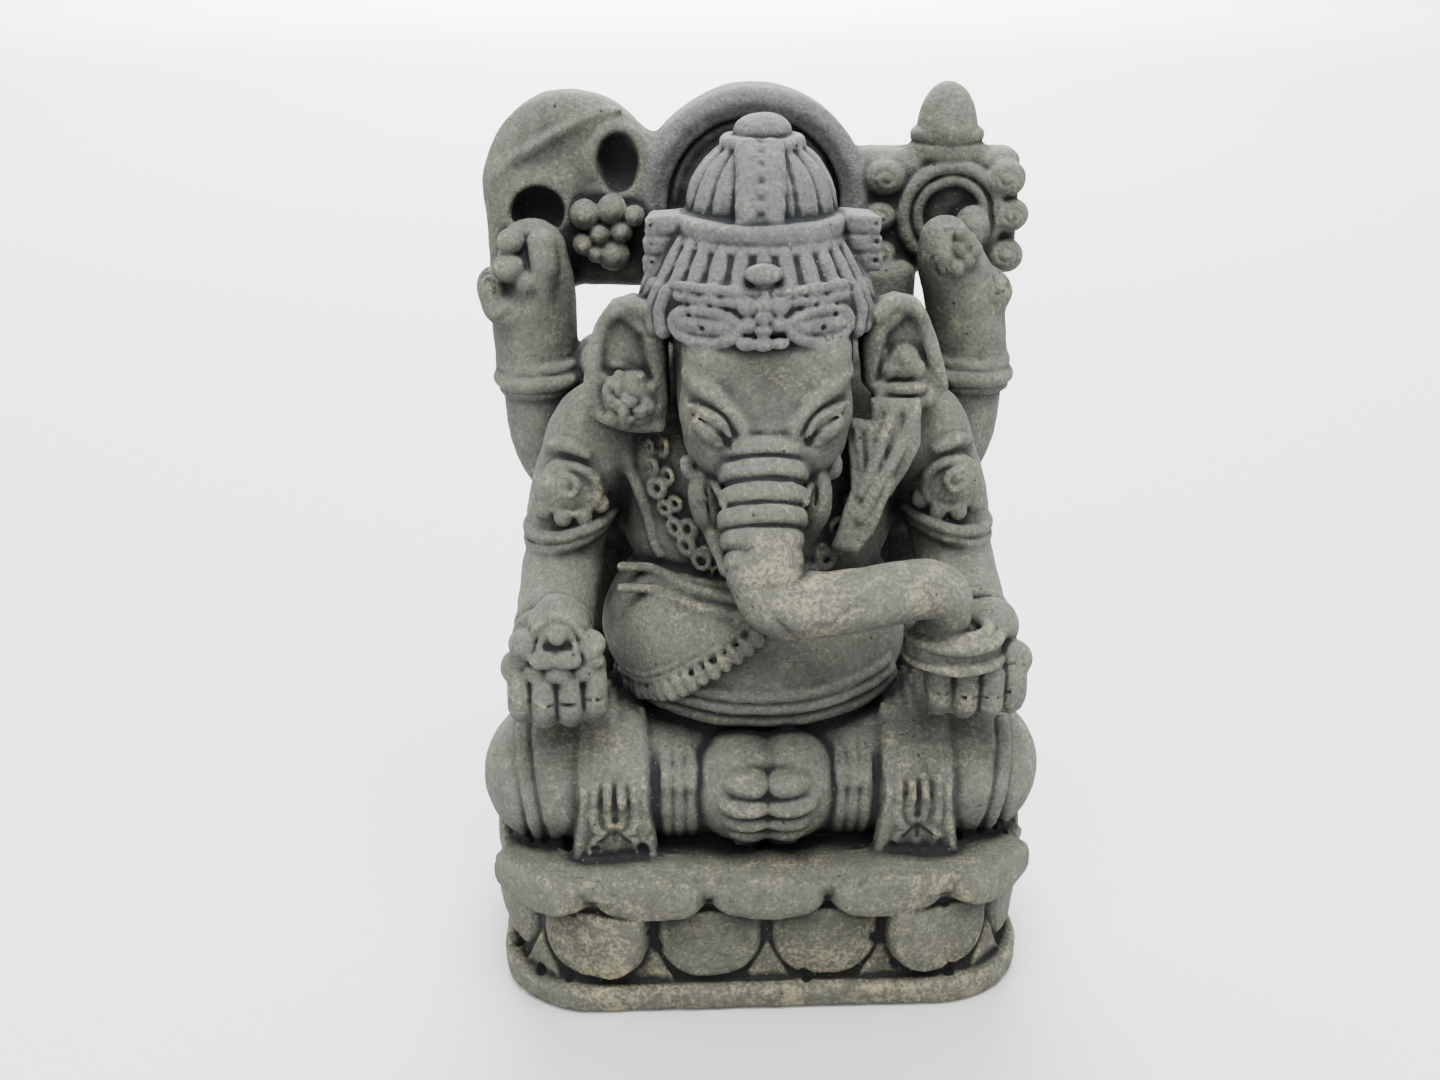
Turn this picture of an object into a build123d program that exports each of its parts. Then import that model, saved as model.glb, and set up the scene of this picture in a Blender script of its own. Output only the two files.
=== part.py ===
"""Seated four-armed Ganesha on a double lotus base, cast in stone, as an assembly of its carved masses.

Millimetres. The origin is the middle of the plinth's underside, +Z is up and the figure faces -Y.
Right and left are the figure's own, so its right side is -X. Every mass is a closed solid of its own,
and each one is cut back by the masses listed before it, so neighbours meet face to face.
"""
from build123d import *
import math
import os

# ---- driving dimensions ----
HEIGHT = 400.0            # plinth to the top of the halo
PLINTH_W, PLINTH_D, PLINTH_H, PLINTH_R = 248.0, 192.0, 13.0, 46.0
DRUM_W, DRUM_D, DRUM_R, DRUM_TOP = 230.0, 174.0, 40.0, 55.0
SEAT_W, SEAT_D, SEAT_R, SEAT_TOP = 236.0, 180.0, 44.0, 68.0
PETALS = 14               # petals in each row, evenly spaced round the drum
LOWER_PETAL_W, LOWER_PETAL_PROUD = 48.0, 5.0
UPPER_PETAL_W, UPPER_PETAL_PROUD = 50.0, 7.0
KNEE_X, KNEE_Y, KNEE_Z, KNEE_R = 95.0, -40.0, 100.0, 33.5
HALO_R, HALO_Y, HALO_T = 55.0, 64.0, 26.0
HALO_Z = HEIGHT - HALO_R
SIDES = {"right": -1, "left": 1}
EPS = 0.4                 # how much a second limb is slimmer at a shared joint
CRUMB = 30.0              # mm3: smaller leftovers of a cut are dropped


# ---- shape helpers ----
def ellipsoid(centre, radii):
    return Pos(*centre) * scale(Sphere(1), by=tuple(radii))


def limb(a, b, radius_a, radius_b):
    """A round-ended limb that tapers from radius_a at a to radius_b at b."""
    axis = Vector(*b) - Vector(*a)
    length = axis.length
    sine = (radius_a - radius_b) / length
    cosine = math.sqrt(1 - sine * sine)
    turn = math.asin(sine)
    start = (math.pi / 2 - turn + math.pi) / 2
    end = (math.pi / 2 - turn) / 2
    tangent_a = (radius_a * sine, radius_a * cosine)
    tangent_b = (length + radius_b * sine, radius_b * cosine)
    outline = [
        ThreePointArc(
            (-radius_a, 0),
            (radius_a * math.cos(start), radius_a * math.sin(start)),
            tangent_a,
        ),
        Line(tangent_a, tangent_b),
        ThreePointArc(
            tangent_b,
            (length + radius_b * math.cos(end), radius_b * math.sin(end)),
            (length + radius_b, 0),
        ),
        Line((length + radius_b, 0), (-radius_a, 0)),
    ]
    profile = make_face(Wire(outline).edges())
    return Plane(origin=a, x_dir=axis, z_dir=square_to(axis)) * revolve(profile, Axis.X, 360)


def square_to(axis):
    helper = Vector(0, 0, 1) if abs(axis.Z) < 0.9 * axis.length else Vector(0, 1, 0)
    return axis.cross(helper)


def chain(points, radii):
    """Limbs end to end along the points, joined into one solid."""
    shape = limb(points[0], points[1], radii[0], radii[1] - EPS)
    for i in range(1, len(points) - 1):
        shape += limb(points[i], points[i + 1], radii[i], radii[i + 1] - EPS)
    return shape


def rounded_slab(width, depth, corner, bottom, top):
    return Pos(0, 0, bottom) * extrude(RectangleRounded(width, depth, corner), top - bottom)


def panel(outline, y_front, y_back):
    """A closed XZ outline made solid from y_front to y_back."""
    face = Plane.XZ * make_face(Polyline(*outline, close=True).edges())
    return Pos(0, y_back, 0) * extrude(face, y_back - y_front)


def round_the_drum(distance, width, depth, corner):
    """Where a walk round a rounded rectangle has got to, and its outward angle, from the front middle."""
    half_w, half_d = width / 2 - corner, depth / 2 - corner
    arc = corner * math.pi / 2
    legs = [half_w, arc, 2 * half_d, arc, 2 * half_w, arc, 2 * half_d, arc, half_w]
    leg = 0
    while distance > legs[leg]:
        distance -= legs[leg]
        leg += 1
    turns = (leg + 1) // 2
    if leg % 2:
        corner_x = (half_w, half_w, -half_w, -half_w)[turns - 1]
        corner_y = (-half_d, half_d, half_d, -half_d)[turns - 1]
        angle = -math.pi / 2 + (turns - 1) * math.pi / 2 + distance / corner
        return corner_x + corner * math.cos(angle), corner_y + corner * math.sin(angle), angle
    angle = -math.pi / 2 + turns * math.pi / 2
    along = distance if leg == 0 else distance - legs[leg] / 2 if leg < 8 else distance - half_w
    x = (along, width / 2, -along, -width / 2, along)[leg // 2]
    y = (-depth / 2, along, depth / 2, -along, -depth / 2)[leg // 2]
    return x, y, angle


def petal_row(outline, first, width, depth, corner, proud, inset):
    """Fourteen separate petals standing proud of a rounded drum."""
    perimeter = 2 * (width + depth) - (8 - 2 * math.pi) * corner
    blank = make_face(outline.edges())
    petals = []
    for i in range(PETALS):
        x, y, angle = round_the_drum((first + i) * perimeter / PETALS % perimeter, width, depth, corner)
        outward = Vector(math.cos(angle), math.sin(angle), 0)
        along = Vector(-outward.Y, outward.X, 0)
        seat = Plane(origin=Vector(x, y, 0) - outward * inset, x_dir=along, z_dir=outward)
        petals.append(seat * extrude(blank, proud + inset))
    return petals


# ---- lotus base ----
def plinth():
    slab = rounded_slab(PLINTH_W, PLINTH_D, PLINTH_R, 0, PLINTH_H)
    return fillet(slab.faces().sort_by(Axis.Z)[-1].edges(), 3)


def lotus_drum():
    return rounded_slab(DRUM_W, DRUM_D, DRUM_R, PLINTH_H, DRUM_TOP)


def seat_slab():
    slab = rounded_slab(SEAT_W, SEAT_D, SEAT_R, DRUM_TOP, SEAT_TOP)
    return fillet(slab.faces().sort_by(Axis.Z)[-1].edges(), 2)


def lower_petals():
    half, shoulder, foot = LOWER_PETAL_W / 2, PLINTH_H + 20, PLINTH_H + 0.5
    outline = Wire([
        Line((-half, DRUM_TOP - 1), (-half, shoulder)),
        ThreePointArc((-half, shoulder), (0, foot), (half, shoulder)),
        Line((half, shoulder), (half, DRUM_TOP - 1)),
        Line((half, DRUM_TOP - 1), (-half, DRUM_TOP - 1)),
    ])
    return petal_row(outline, 0.5, DRUM_W, DRUM_D, DRUM_R, LOWER_PETAL_PROUD, 12)


def petal_fillers():
    foot = PLINTH_H + 0.5
    outline = Wire(Polyline((-1, 32), (-7, foot), (7, foot), (1, 32), close=True).edges())
    return petal_row(outline, 0, DRUM_W, DRUM_D, DRUM_R, LOWER_PETAL_PROUD - 1, 3)


def upper_petals():
    half, foot, shoulder, tip = UPPER_PETAL_W / 2, DRUM_TOP - 1, SEAT_TOP - 4, SEAT_TOP + 3
    outline = Wire([
        Line((-half + 3, foot), (half - 3, foot)),
        Line((half - 3, foot), (half, shoulder)),
        ThreePointArc((half, shoulder), (half / 2, tip - 1.6), (0, tip)),
        ThreePointArc((0, tip), (-half / 2, tip - 1.6), (-half, shoulder)),
        Line((-half, shoulder), (-half + 3, foot)),
    ])
    return petal_row(outline, 0, SEAT_W, SEAT_D, SEAT_R, UPPER_PETAL_PROUD, 14)


# ---- legs and feet ----
def leg(side):
    s = SIDES[side]
    knee = (s * KNEE_X, KNEE_Y, KNEE_Z)
    return chain([(s * 48, 30, 102), knee, (s * 40, -46, 97)], [38, KNEE_R, 28])


def foot(side):
    s = SIDES[side]
    return limb((s * 18.5, -67, 89), (s * 19.5, -67, 112), 17, 18.5)


def toes(side):
    s = SIDES[side]
    heights = (114, 102.5, 93.5, 86, 79.5)
    radii = (6.5, 4.6, 4.2, 3.8, 3.2)
    return [
        limb((s * 22, -82, z), (s * (radius + 0.8), -85.5, z - 1), radius * 0.8, radius)
        for z, radius in zip(heights, radii)
    ]


def sash_fall(side):
    s = SIDES[side]
    outline = [(s * 57, 132), (s * 52, 86), (s * 50, 71), (s * 88, 71), (s * 87, 90), (s * 82, 132)]
    return panel(outline, -91, -70)


def leg_pleats(side):
    s = SIDES[side]
    return [limb((s * x, -72, 126), (s * x, -76, 73), 4.2, 4.6) for x in (36.5, 46)]


# ---- trunk of the body ----
def hips():
    return ellipsoid((0, 24, 104), (76, 56, 46))


def belly():
    return ellipsoid((0, -6, 163), (70, 58, 46))


def chest():
    return ellipsoid((0, 8, 224), (63, 44, 47))


def waist_band():
    ring = ellipsoid((0, -6, 131), (69, 60, 16)) & rounded_slab(180, 180, 20, 121, 134)
    return ring


def chest_sash():
    """A broad cloth over the belly's right half, its hem rising to the left."""
    cloth = ellipsoid((0, -6, 163), (73.5, 61.5, 49))
    window = panel([(-90, 137), (-58, 141), (-8, 172), (12, 186), (12, 204), (-90, 204)], -90, 8)
    return cloth & window


def necklace():
    """Beads hanging from the ears' roots to the middle of the chest."""
    beads = []
    for s in SIDES.values():
        for i in range(1, 7):
            t = i / 6
            x = 33 - 15 * t * t
            y = -35 - 9 * t
            z = 249 - 44 * t
            beads.append(Pos(s * x, y, z) * Sphere(3.6))
    return beads


def scarf(side):
    s = SIDES[side]
    return limb((s * 52, -26, 262), (s * 40, -46, 208), 9, 8)


def back_slab():
    """The stone between the shoulders and the halo, narrow enough to leave a window beside the neck."""
    outline = [(-46, 200), (46, 200), (40, 290), (48, 322), (-48, 322), (-40, 290)]
    return panel(outline, 34, 82)


# ---- head ----
def head():
    skull = ellipsoid((0, -20, 288), (43, 44, 42))
    cheeks = ellipsoid((0, -38, 262), (35, 27, 30))
    return skull + cheeks


def trunk_root():
    return chain([(0, -60, 256), (0, -73, 236), (0, -80, 219)], [23, 19.5, 16.5])


def trunk():
    path = [(-1, -82, 206), (34, -86, 204), (63, -84, 206), (76, -79, 195)]
    return chain(path, [16, 14, 13, 10.5])


def tusk(side):
    s = SIDES[side]
    return limb((s * 27, -64, 246), (s * 16, -80, 219), 5.6, 3.6)


def ear(side):
    s = SIDES[side]
    outline = [(s * 46, 316), (s * 64, 318), (s * 73, 308), (s * 80, 280), (s * 71, 266), (s * 45, 264)]
    return panel(outline, -32, -16)


def ear_boss(side):
    s = SIDES[side]
    return ellipsoid((s * 57, -30, 281), (10, 8, 12))


# ---- crown and halo ----
def diadem():
    band = ellipsoid((0, -18, 321), (51, 47, 24))
    return band & Pos(0, -18, 321) * Rot(-9, 0, 0) * Box(140, 140, 32)


def crown_base():
    return Pos(0, -10, 342) * Cone(42, 35, 18)


def crown_dome():
    return ellipsoid((0, -2, 352), (32.5, 32.5, 33)) & rounded_slab(90, 90, 10, 345, 384)


def crown_clasp():
    return limb((0, -36, 346), (0, -18, 380), 9, 7)


def crown_knob():
    disc = Pos(0, -2, 381.5) * Cylinder(18, 5)
    return disc + ellipsoid((0, -2, 384), (12, 12, 9))


def crown_wings():
    return [Pos(s * 44, -8, 341) * Box(13, 22, 22) for s in SIDES.values()]


def halo_disc():
    return Pos(0, HALO_Y, HALO_Z) * Rot(90, 0, 0) * Cylinder(HALO_R, HALO_T)


def halo_rim():
    return Pos(0, HALO_Y - HALO_T / 2, HALO_Z) * Rot(90, 0, 0) * Torus(HALO_R - 6.5, 6)


# ---- rear arms and what they hold ----
def rear_arm(side):
    s = SIDES[side]
    return chain([(s * 66, 34, 212), (s * 95, 40, 232), (s * 101, 40, 266)], [22, 20.5, 20])


def rear_bracelet(side):
    s = SIDES[side]
    return Pos(s * 101, 40, 271) * Torus(19.5, 4.2)


def rear_hand(side):
    s = SIDES[side]
    palm = limb((s * 102, 40, 284), (s * 106, 40, 308), 19, 20.5)
    return palm


def rear_fingers(side):
    s = SIDES[side]
    if side == "right":
        starts = [(s * 122, 32, 300), (s * 120, 28, 318), (s * 110, 25, 325), (s * 99, 26, 324)]
    else:
        starts = [(s * 83, 28, 300), (s * 84, 26, 318), (s * 92, 25, 330), (s * 103, 26, 322)]
    return [limb(a, (a[0], a[1] + 12, a[2] + 9), 6.2, 6.2) for a in starts]


def axe_blade():
    blade = Pos(-84, HALO_Y, 356) * Rot(90, 0, 0) * Cylinder(41, HALO_T)
    cheek = Pos(-97, HALO_Y, 326) * Box(50, HALO_T, 42)
    bridge = Pos(-56, HALO_Y, 342) * Box(36, HALO_T, 62)
    eye_near = Pos(-100, 50, 343) * Rot(90, 0, 0) * Cylinder(11, 18)
    eye_far = Pos(-62, 50, 365) * Rot(90, 0, 0) * Cylinder(9.5, 18)
    return blade + cheek + bridge - eye_near - eye_far


def axe_socket():
    rosette = [(-81, 342, 7.5), (-68, 346, 8), (-59, 339, 6.5), (-66, 328, 7), (-78, 329, 6.5), (-59, 319, 7.5)]
    return [Pos(x, 46, z) * Sphere(radius) for x, z, radius in rosette]


def emblem_disc():
    disc = Pos(94, HALO_Y, 347) * Rot(90, 0, 0) * Cylinder(29, HALO_T)
    return disc + Pos(66, HALO_Y, 340) * Box(36, HALO_T, 56)


def emblem_ring():
    return Pos(94, HALO_Y - HALO_T / 2, 347) * Rot(90, 0, 0) * Torus(21, 3)


def emblem_finial():
    foot_ring = Pos(91, 58, 372) * Cylinder(17, 9)
    cap = Pos(91, 58, 376) * Cone(16, 4.5, 22, align=(Align.CENTER, Align.CENTER, Align.MIN))
    return foot_ring + cap


def emblem_lobes():
    right_column = [(120, 361, 10), (121, 342, 9.5), (121, 322.5, 9)]
    left_column = [(66, 367, 9), (61, 350, 8), (63, 333, 8)]
    return [Pos(x, 52, z) * Sphere(radius) for x, z, radius in right_column + left_column]


# ---- front arms and what they hold ----
def arm(side):
    s = SIDES[side]
    return chain([(s * 70, 2, 246), (s * 88, -2, 214), (s * 91, -10, 190)], [24, 20.5, 18.5])


def armlet(side):
    s = SIDES[side]
    ring = Pos(s * 86, -4, 219) * Rot(0, s * 18, 0) * Torus(19, 5)
    return ring + ellipsoid((s * 84, -20, 229), (13, 9, 14))


def forearm(side):
    s = SIDES[side]
    return limb((s * 92, -16, 184), (s * 95, -54, 168), 17.5, 15)


def bangle(side):
    s = SIDES[side]
    return Pos(s * 95, -48, 171) * Rot(-67, 0, 0) * Torus(15.5, 3.4)


def hand(side):
    s = SIDES[side]
    return ellipsoid((s * 92, -66, 157), (22, 17, 16))


def fingers(side):
    s = SIDES[side]
    return [limb((s * x, -79, 161), (s * x, -80, 148), 5.2, 5.2) for x in (76, 87, 98, 109)]


def sweet_cake():
    base = Pos(-91, -68, 176) * Cylinder(19, 9)
    return base + ellipsoid((-91, -68, 182), (14, 14, 18))


def bowl():
    """A bowl carved solid, with only a shallow dish in its top."""
    cup = Pos(82, -70, 176) * Cone(16, 22, 14)
    dish = Pos(82, -70, 182) * Cylinder(18.5, 3)
    return cup - dish


# Masses in the order they are cut back: each one loses what the earlier ones already fill.
def masses():
    made = [
        ("plinth", plinth()),
        ("lotus_drum", lotus_drum()),
        ("seat_slab", seat_slab()),
        ("lower_petals", lower_petals()),
        ("petal_fillers", petal_fillers()),
        ("upper_petals", upper_petals()),
        ("belly", belly()),
        ("hips", hips()),
        ("chest", chest()),
        ("head", head()),
        ("back_slab", back_slab()),
        ("halo_disc", halo_disc()),
        ("halo_rim", halo_rim()),
        ("crown_dome", crown_dome()),
        ("crown_base", crown_base()),
        ("crown_knob", crown_knob()),
        ("crown_clasp", crown_clasp()),
        ("diadem", diadem()),
        ("crown_wings", crown_wings()),
        ("trunk_root", trunk_root()),
        ("trunk", trunk()),
    ]
    limbs = {
        "leg": leg, "foot": foot, "ear": ear, "rear_arm": rear_arm, "rear_hand": rear_hand,
        "arm": arm, "forearm": forearm, "hand": hand, "sash_fall": sash_fall,
    }
    for name, maker in limbs.items():
        made += [(f"{side}_{name}", maker(side)) for side in SIDES]
    sets = {"toes": toes, "front_fingers": fingers, "rear_fingers": rear_fingers, "leg_pleats": leg_pleats}
    for name, maker in sets.items():
        made.append((name, maker("right") + maker("left")))
    pairs = {
        "tusks": tusk, "ear_bosses": ear_boss, "scarf_ends": scarf, "armlets": armlet,
        "rear_bracelets": rear_bracelet, "bangles": bangle,
    }
    for name, maker in pairs.items():
        made.append((name, [maker("right"), maker("left")]))
    made += [
        ("axe_blade", axe_blade()),
        ("axe_socket", axe_socket()),
        ("emblem_disc", emblem_disc()),
        ("emblem_finial", emblem_finial()),
        ("emblem_ring", emblem_ring()),
        ("emblem_lobes", emblem_lobes()),
        ("sweet_cake", sweet_cake()),
        ("bowl", bowl()),
        ("waist_band", waist_band()),
        ("chest_sash", chest_sash()),
        ("necklace", necklace()),
    ]
    return made


def near(a, b):
    """Whether two bounding boxes overlap."""
    apart = (a.max.X < b.min.X, b.max.X < a.min.X, a.max.Y < b.min.Y)
    return not any(apart + (b.max.Y < a.min.Y, a.max.Z < b.min.Z, b.max.Z < a.min.Z))


def cut_back(pieces, done):
    """The pieces without what the finished masses, or each other, already fill. Returns (solid, box) pairs."""
    kept = []
    for piece in pieces:
        box = piece.bounding_box()
        for other, other_box in done + kept:
            if near(box, other_box):
                piece = piece - other
                if not piece.solids():
                    break
        kept += [(solid, solid.bounding_box()) for solid in piece.solids() if solid.volume > CRUMB]
    return kept


def main():
    os.makedirs("parts", exist_ok=True)
    done = []
    for name, shape in masses():
        pieces = shape if isinstance(shape, list) else [shape]
        finished = cut_back(pieces, done)
        done += finished
        solids = [solid for solid, box in finished]
        export_step(Compound(label=name, children=solids), f"parts/{name}.step")


main()
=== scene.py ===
import math

import bpy
import numpy as np
import openvdb as vdb
from mathutils import Euler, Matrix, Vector


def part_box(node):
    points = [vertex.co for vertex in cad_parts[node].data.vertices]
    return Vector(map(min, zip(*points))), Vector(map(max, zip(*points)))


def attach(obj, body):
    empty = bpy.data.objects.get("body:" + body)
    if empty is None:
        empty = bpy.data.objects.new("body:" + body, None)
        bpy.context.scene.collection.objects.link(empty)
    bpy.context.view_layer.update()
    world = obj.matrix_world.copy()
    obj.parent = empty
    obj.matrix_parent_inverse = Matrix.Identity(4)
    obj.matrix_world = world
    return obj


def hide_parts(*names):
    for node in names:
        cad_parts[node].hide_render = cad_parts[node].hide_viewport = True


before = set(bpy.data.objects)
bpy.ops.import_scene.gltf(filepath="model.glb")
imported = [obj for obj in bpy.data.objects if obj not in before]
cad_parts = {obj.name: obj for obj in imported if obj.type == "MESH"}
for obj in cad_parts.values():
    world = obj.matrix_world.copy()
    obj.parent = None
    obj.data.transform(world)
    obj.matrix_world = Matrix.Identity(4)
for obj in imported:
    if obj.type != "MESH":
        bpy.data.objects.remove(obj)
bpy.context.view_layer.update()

# Lengths are millimetres until a mesh is made. The figure faces -Y.
# side is -1 on the figure's right and +1 on its left.
mm = 0.001
sides = ((-1, "right"), (1, "left"))
clay = {
    "voxel": 0.95,   # size of the sculpting grid
    "reach": 8.0,                           # how far from a stroke its distance is worked out
    "margin": 14.0,                         # empty space round the block
    "merge": 0.012,                         # how readily flat neighbours become one face
    "overlap": 3.0,                         # how far a piece dives under its neighbours
    "wobble": ((9.0, 0.38), (3.6, 0.24)),   # hand-made unevenness: size of the dents, depth
    "seed": 11,
}
boxes = {name: [np.array(corner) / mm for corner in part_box(name)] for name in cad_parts}


def mid(node, dx=0.0, dy=0.0, dz=0.0):
    low, high = boxes[node]
    return (low + high) / 2 + np.array((dx, dy, dz), float)


# The sculpting grid holds distances to the stone's surface, negative inside.
voxel = clay["voxel"]
gridLow = np.min([low for low, high in boxes.values()], 0) - clay["margin"]
gridHigh = np.max([high for low, high in boxes.values()], 0) + clay["margin"]
gridShape = tuple(int(n) for n in np.ceil((gridHigh - gridLow) / voxel))
axes = [(gridLow[k] + voxel * np.arange(gridShape[k])).astype(np.float32) for k in range(3)]
far = np.float32(14.0)
stone = np.full(gridShape, far, np.float32)      # the whole statue, blended
nearest = np.full(gridShape, far, np.float32)    # distance to the nearest piece
second = np.full(gridShape, far, np.float32)     # and to the one after it
owner = np.full(gridShape, -1, np.int16)
pieces = {}


def windowOf(low, high):
    first = np.clip(np.floor((np.array(low) - gridLow) / voxel).astype(int), 0, gridShape)
    last = np.clip(np.ceil((np.array(high) - gridLow) / voxel).astype(int) + 1, 0, gridShape)
    return tuple(slice(int(a), int(b)) for a, b in zip(first, last))


def coordinates(window):
    x, y, z = (axes[k][window[k]] for k in range(3))
    return x[:, None, None], y[None, :, None], z[None, None, :]


def turned(x, y, z, centre, turn):
    x, y, z = x - np.float32(centre[0]), y - np.float32(centre[1]), z - np.float32(centre[2])
    if turn is None:
        return x, y, z
    m = np.array(Euler([math.radians(a) for a in turn]).to_matrix(), np.float32)
    return tuple(m[0][k] * x + m[1][k] * y + m[2][k] * z for k in range(3))


def smoothMin(a, b, soft):
    if soft <= 0:
        return np.minimum(a, b)
    h = np.maximum(soft - np.abs(a - b), 0) / soft
    return np.minimum(a, b) - h * h * np.float32(soft / 4)


# A stroke is a distance function with its lowest and highest corner.
def ball(centre, radii, turn=None):
    centre = np.array(centre, float)
    r = np.broadcast_to(np.array(radii, np.float32), 3)

    def distance(x, y, z):
        x, y, z = turned(x, y, z, centre, turn)
        k0 = np.sqrt((x / r[0]) ** 2 + (y / r[1]) ** 2 + (z / r[2]) ** 2) + np.float32(1e-4)
        k1 = np.sqrt((x / r[0] ** 2) ** 2 + (y / r[1] ** 2) ** 2 + (z / r[2] ** 2) ** 2) + 1e-4 / r.min()
        return k0 * (k0 - 1) / k1

    size = r if turn is None else np.full(3, r.max())
    return distance, centre - size, centre + size


def limb(points, radii):
    points = np.array(points, np.float32)
    radii = np.broadcast_to(np.array(radii, np.float32), len(points))

    def distance(x, y, z):
        best = None
        for i in range(len(points) - 1):
            a, along = points[i], points[i + 1] - points[i]
            t = (x - a[0]) * along[0] + (y - a[1]) * along[1] + (z - a[2]) * along[2]
            t = np.clip(t / max(float(along @ along), 1e-6), 0, 1)
            dx, dy, dz = x - a[0] - t * along[0], y - a[1] - t * along[1], z - a[2] - t * along[2]
            d = np.sqrt(dx * dx + dy * dy + dz * dz) - (radii[i] + t * (radii[i + 1] - radii[i]))
            best = d if best is None else np.minimum(best, d)
        return best

    return distance, points.min(0) - radii.max(), points.max(0) + radii.max()


def curved(points, count=12):
    p = np.array(points, float)
    p = np.vstack([2 * p[0] - p[1], p, 2 * p[-1] - p[-2]])
    spans = len(p) - 3
    out = []
    for t in np.linspace(0, spans - 1e-6, count):
        i, f = int(t), t - int(t)
        a, b, c, d = p[i:i + 4]
        out.append(0.5 * (2 * b + (c - a) * f + (2 * a - 5 * b + 4 * c - d) * f * f
                          + (3 * b - a - 3 * c + d) * f ** 3))
    return np.array(out)


def sweep(points, radii, count=12):
    radii = np.broadcast_to(np.array(radii, float), len(points))
    rows = np.hstack([np.array(points, float), radii[:, None]])
    rows = curved(rows, count)
    return limb(rows[:, :3], rows[:, 3])


def block(centre, size, turn=None, edge=2.0):
    centre, half = np.array(centre, float), np.array(size, np.float32) / 2 - np.float32(edge)

    def distance(x, y, z):
        x, y, z = turned(x, y, z, centre, turn)
        qx, qy, qz = np.abs(x) - half[0], np.abs(y) - half[1], np.abs(z) - half[2]
        outside = np.sqrt(np.maximum(qx, 0) ** 2 + np.maximum(qy, 0) ** 2 + np.maximum(qz, 0) ** 2)
        return outside + np.minimum(np.maximum(np.maximum(qx, qy), qz), 0) - np.float32(edge)

    size = half + edge if turn is None else np.full(3, np.linalg.norm(half + edge))
    return distance, centre - size, centre + size


def slab(centre, width, depth, corner, height, edge=3.0):
    centre = np.array(centre, float)

    def distance(x, y, z):
        x, y, z = turned(x, y, z, centre, None)
        qx, qy = np.abs(x) - (width / 2 - corner), np.abs(y) - (depth / 2 - corner)
        wall = np.sqrt(np.maximum(qx, 0) ** 2 + np.maximum(qy, 0) ** 2)
        wall = wall + np.minimum(np.maximum(qx, qy), 0) - corner + edge
        cap = np.abs(z) - height / 2 + edge
        rounded = np.sqrt(np.maximum(wall, 0) ** 2 + np.maximum(cap, 0) ** 2)
        return (rounded + np.minimum(np.maximum(wall, cap), 0) - edge).astype(np.float32)

    size = np.array((width, depth, height)) / 2
    return distance, centre - size, centre + size


def drum(centre, radii, height, turn=None, edge=2.0):
    centre = np.array(centre, float)
    a, b = radii

    def distance(x, y, z):
        x, y, z = turned(x, y, z, centre, turn)
        k0 = np.sqrt((x / a) ** 2 + (y / b) ** 2) + 1e-4
        k1 = np.sqrt((x / a ** 2) ** 2 + (y / b ** 2) ** 2) + 1e-4 / min(a, b)
        wall, cap = k0 * (k0 - 1) / k1 + edge, np.abs(z) - height / 2 + edge
        rounded = np.sqrt(np.maximum(wall, 0) ** 2 + np.maximum(cap, 0) ** 2)
        return (rounded + np.minimum(np.maximum(wall, cap), 0) - edge).astype(np.float32)

    size = np.array((a, b, height / 2))
    size = size if turn is None else np.full(3, np.linalg.norm(size))
    return distance, centre - size, centre + size


def ring(centre, radius, thick, turn=None, oval=(1, 1)):
    centre = np.array(centre, float)

    def distance(x, y, z):
        x, y, z = turned(x, y, z, centre, turn)
        q = np.sqrt((x / oval[0]) ** 2 + (y / oval[1]) ** 2) - radius
        return np.sqrt(q * q + z * z) - np.float32(thick)

    size = np.full(3, radius * max(oval) + thick)
    return distance, centre - size, centre + size


def prism(outline, centre, thick, turn=None, edge=1.5):
    centre, outline = np.array(centre, float), np.array(outline, np.float32)

    def distance(x, y, z):
        x, y, z = turned(x, y, z, centre, turn)
        x, z = np.broadcast_arrays(x, z) if turn is None else (x, z)
        inside = np.zeros(x.shape, bool)
        best = np.full(x.shape, 1e6, np.float32)
        for (ax, az), (bx, bz) in zip(outline, np.roll(outline, -1, 0)):
            ex, ez = bx - ax, bz - az
            t = np.clip(((x - ax) * ex + (z - az) * ez) / (ex * ex + ez * ez), 0, 1)
            best = np.minimum(best, (x - ax - t * ex) ** 2 + (z - az - t * ez) ** 2)
            crosses = (az > z) != (bz > z)
            inside ^= crosses & (x < ex * (z - az) / (ez if abs(ez) > 1e-6 else 1e-6) + ax)
        wall = np.where(inside, -1, 1) * np.sqrt(best) + edge
        cap = np.abs(y) - thick / 2 + edge
        rounded = np.sqrt(np.maximum(wall, 0) ** 2 + np.maximum(cap, 0) ** 2)
        return (rounded + np.minimum(np.maximum(wall, cap), 0) - edge).astype(np.float32)

    size = np.array((np.abs(outline[:, 0]).max(), thick / 2, np.abs(outline[:, 1]).max()))
    size = size if turn is None else np.full(3, np.linalg.norm(size))
    return distance, centre - size, centre + size


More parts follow.
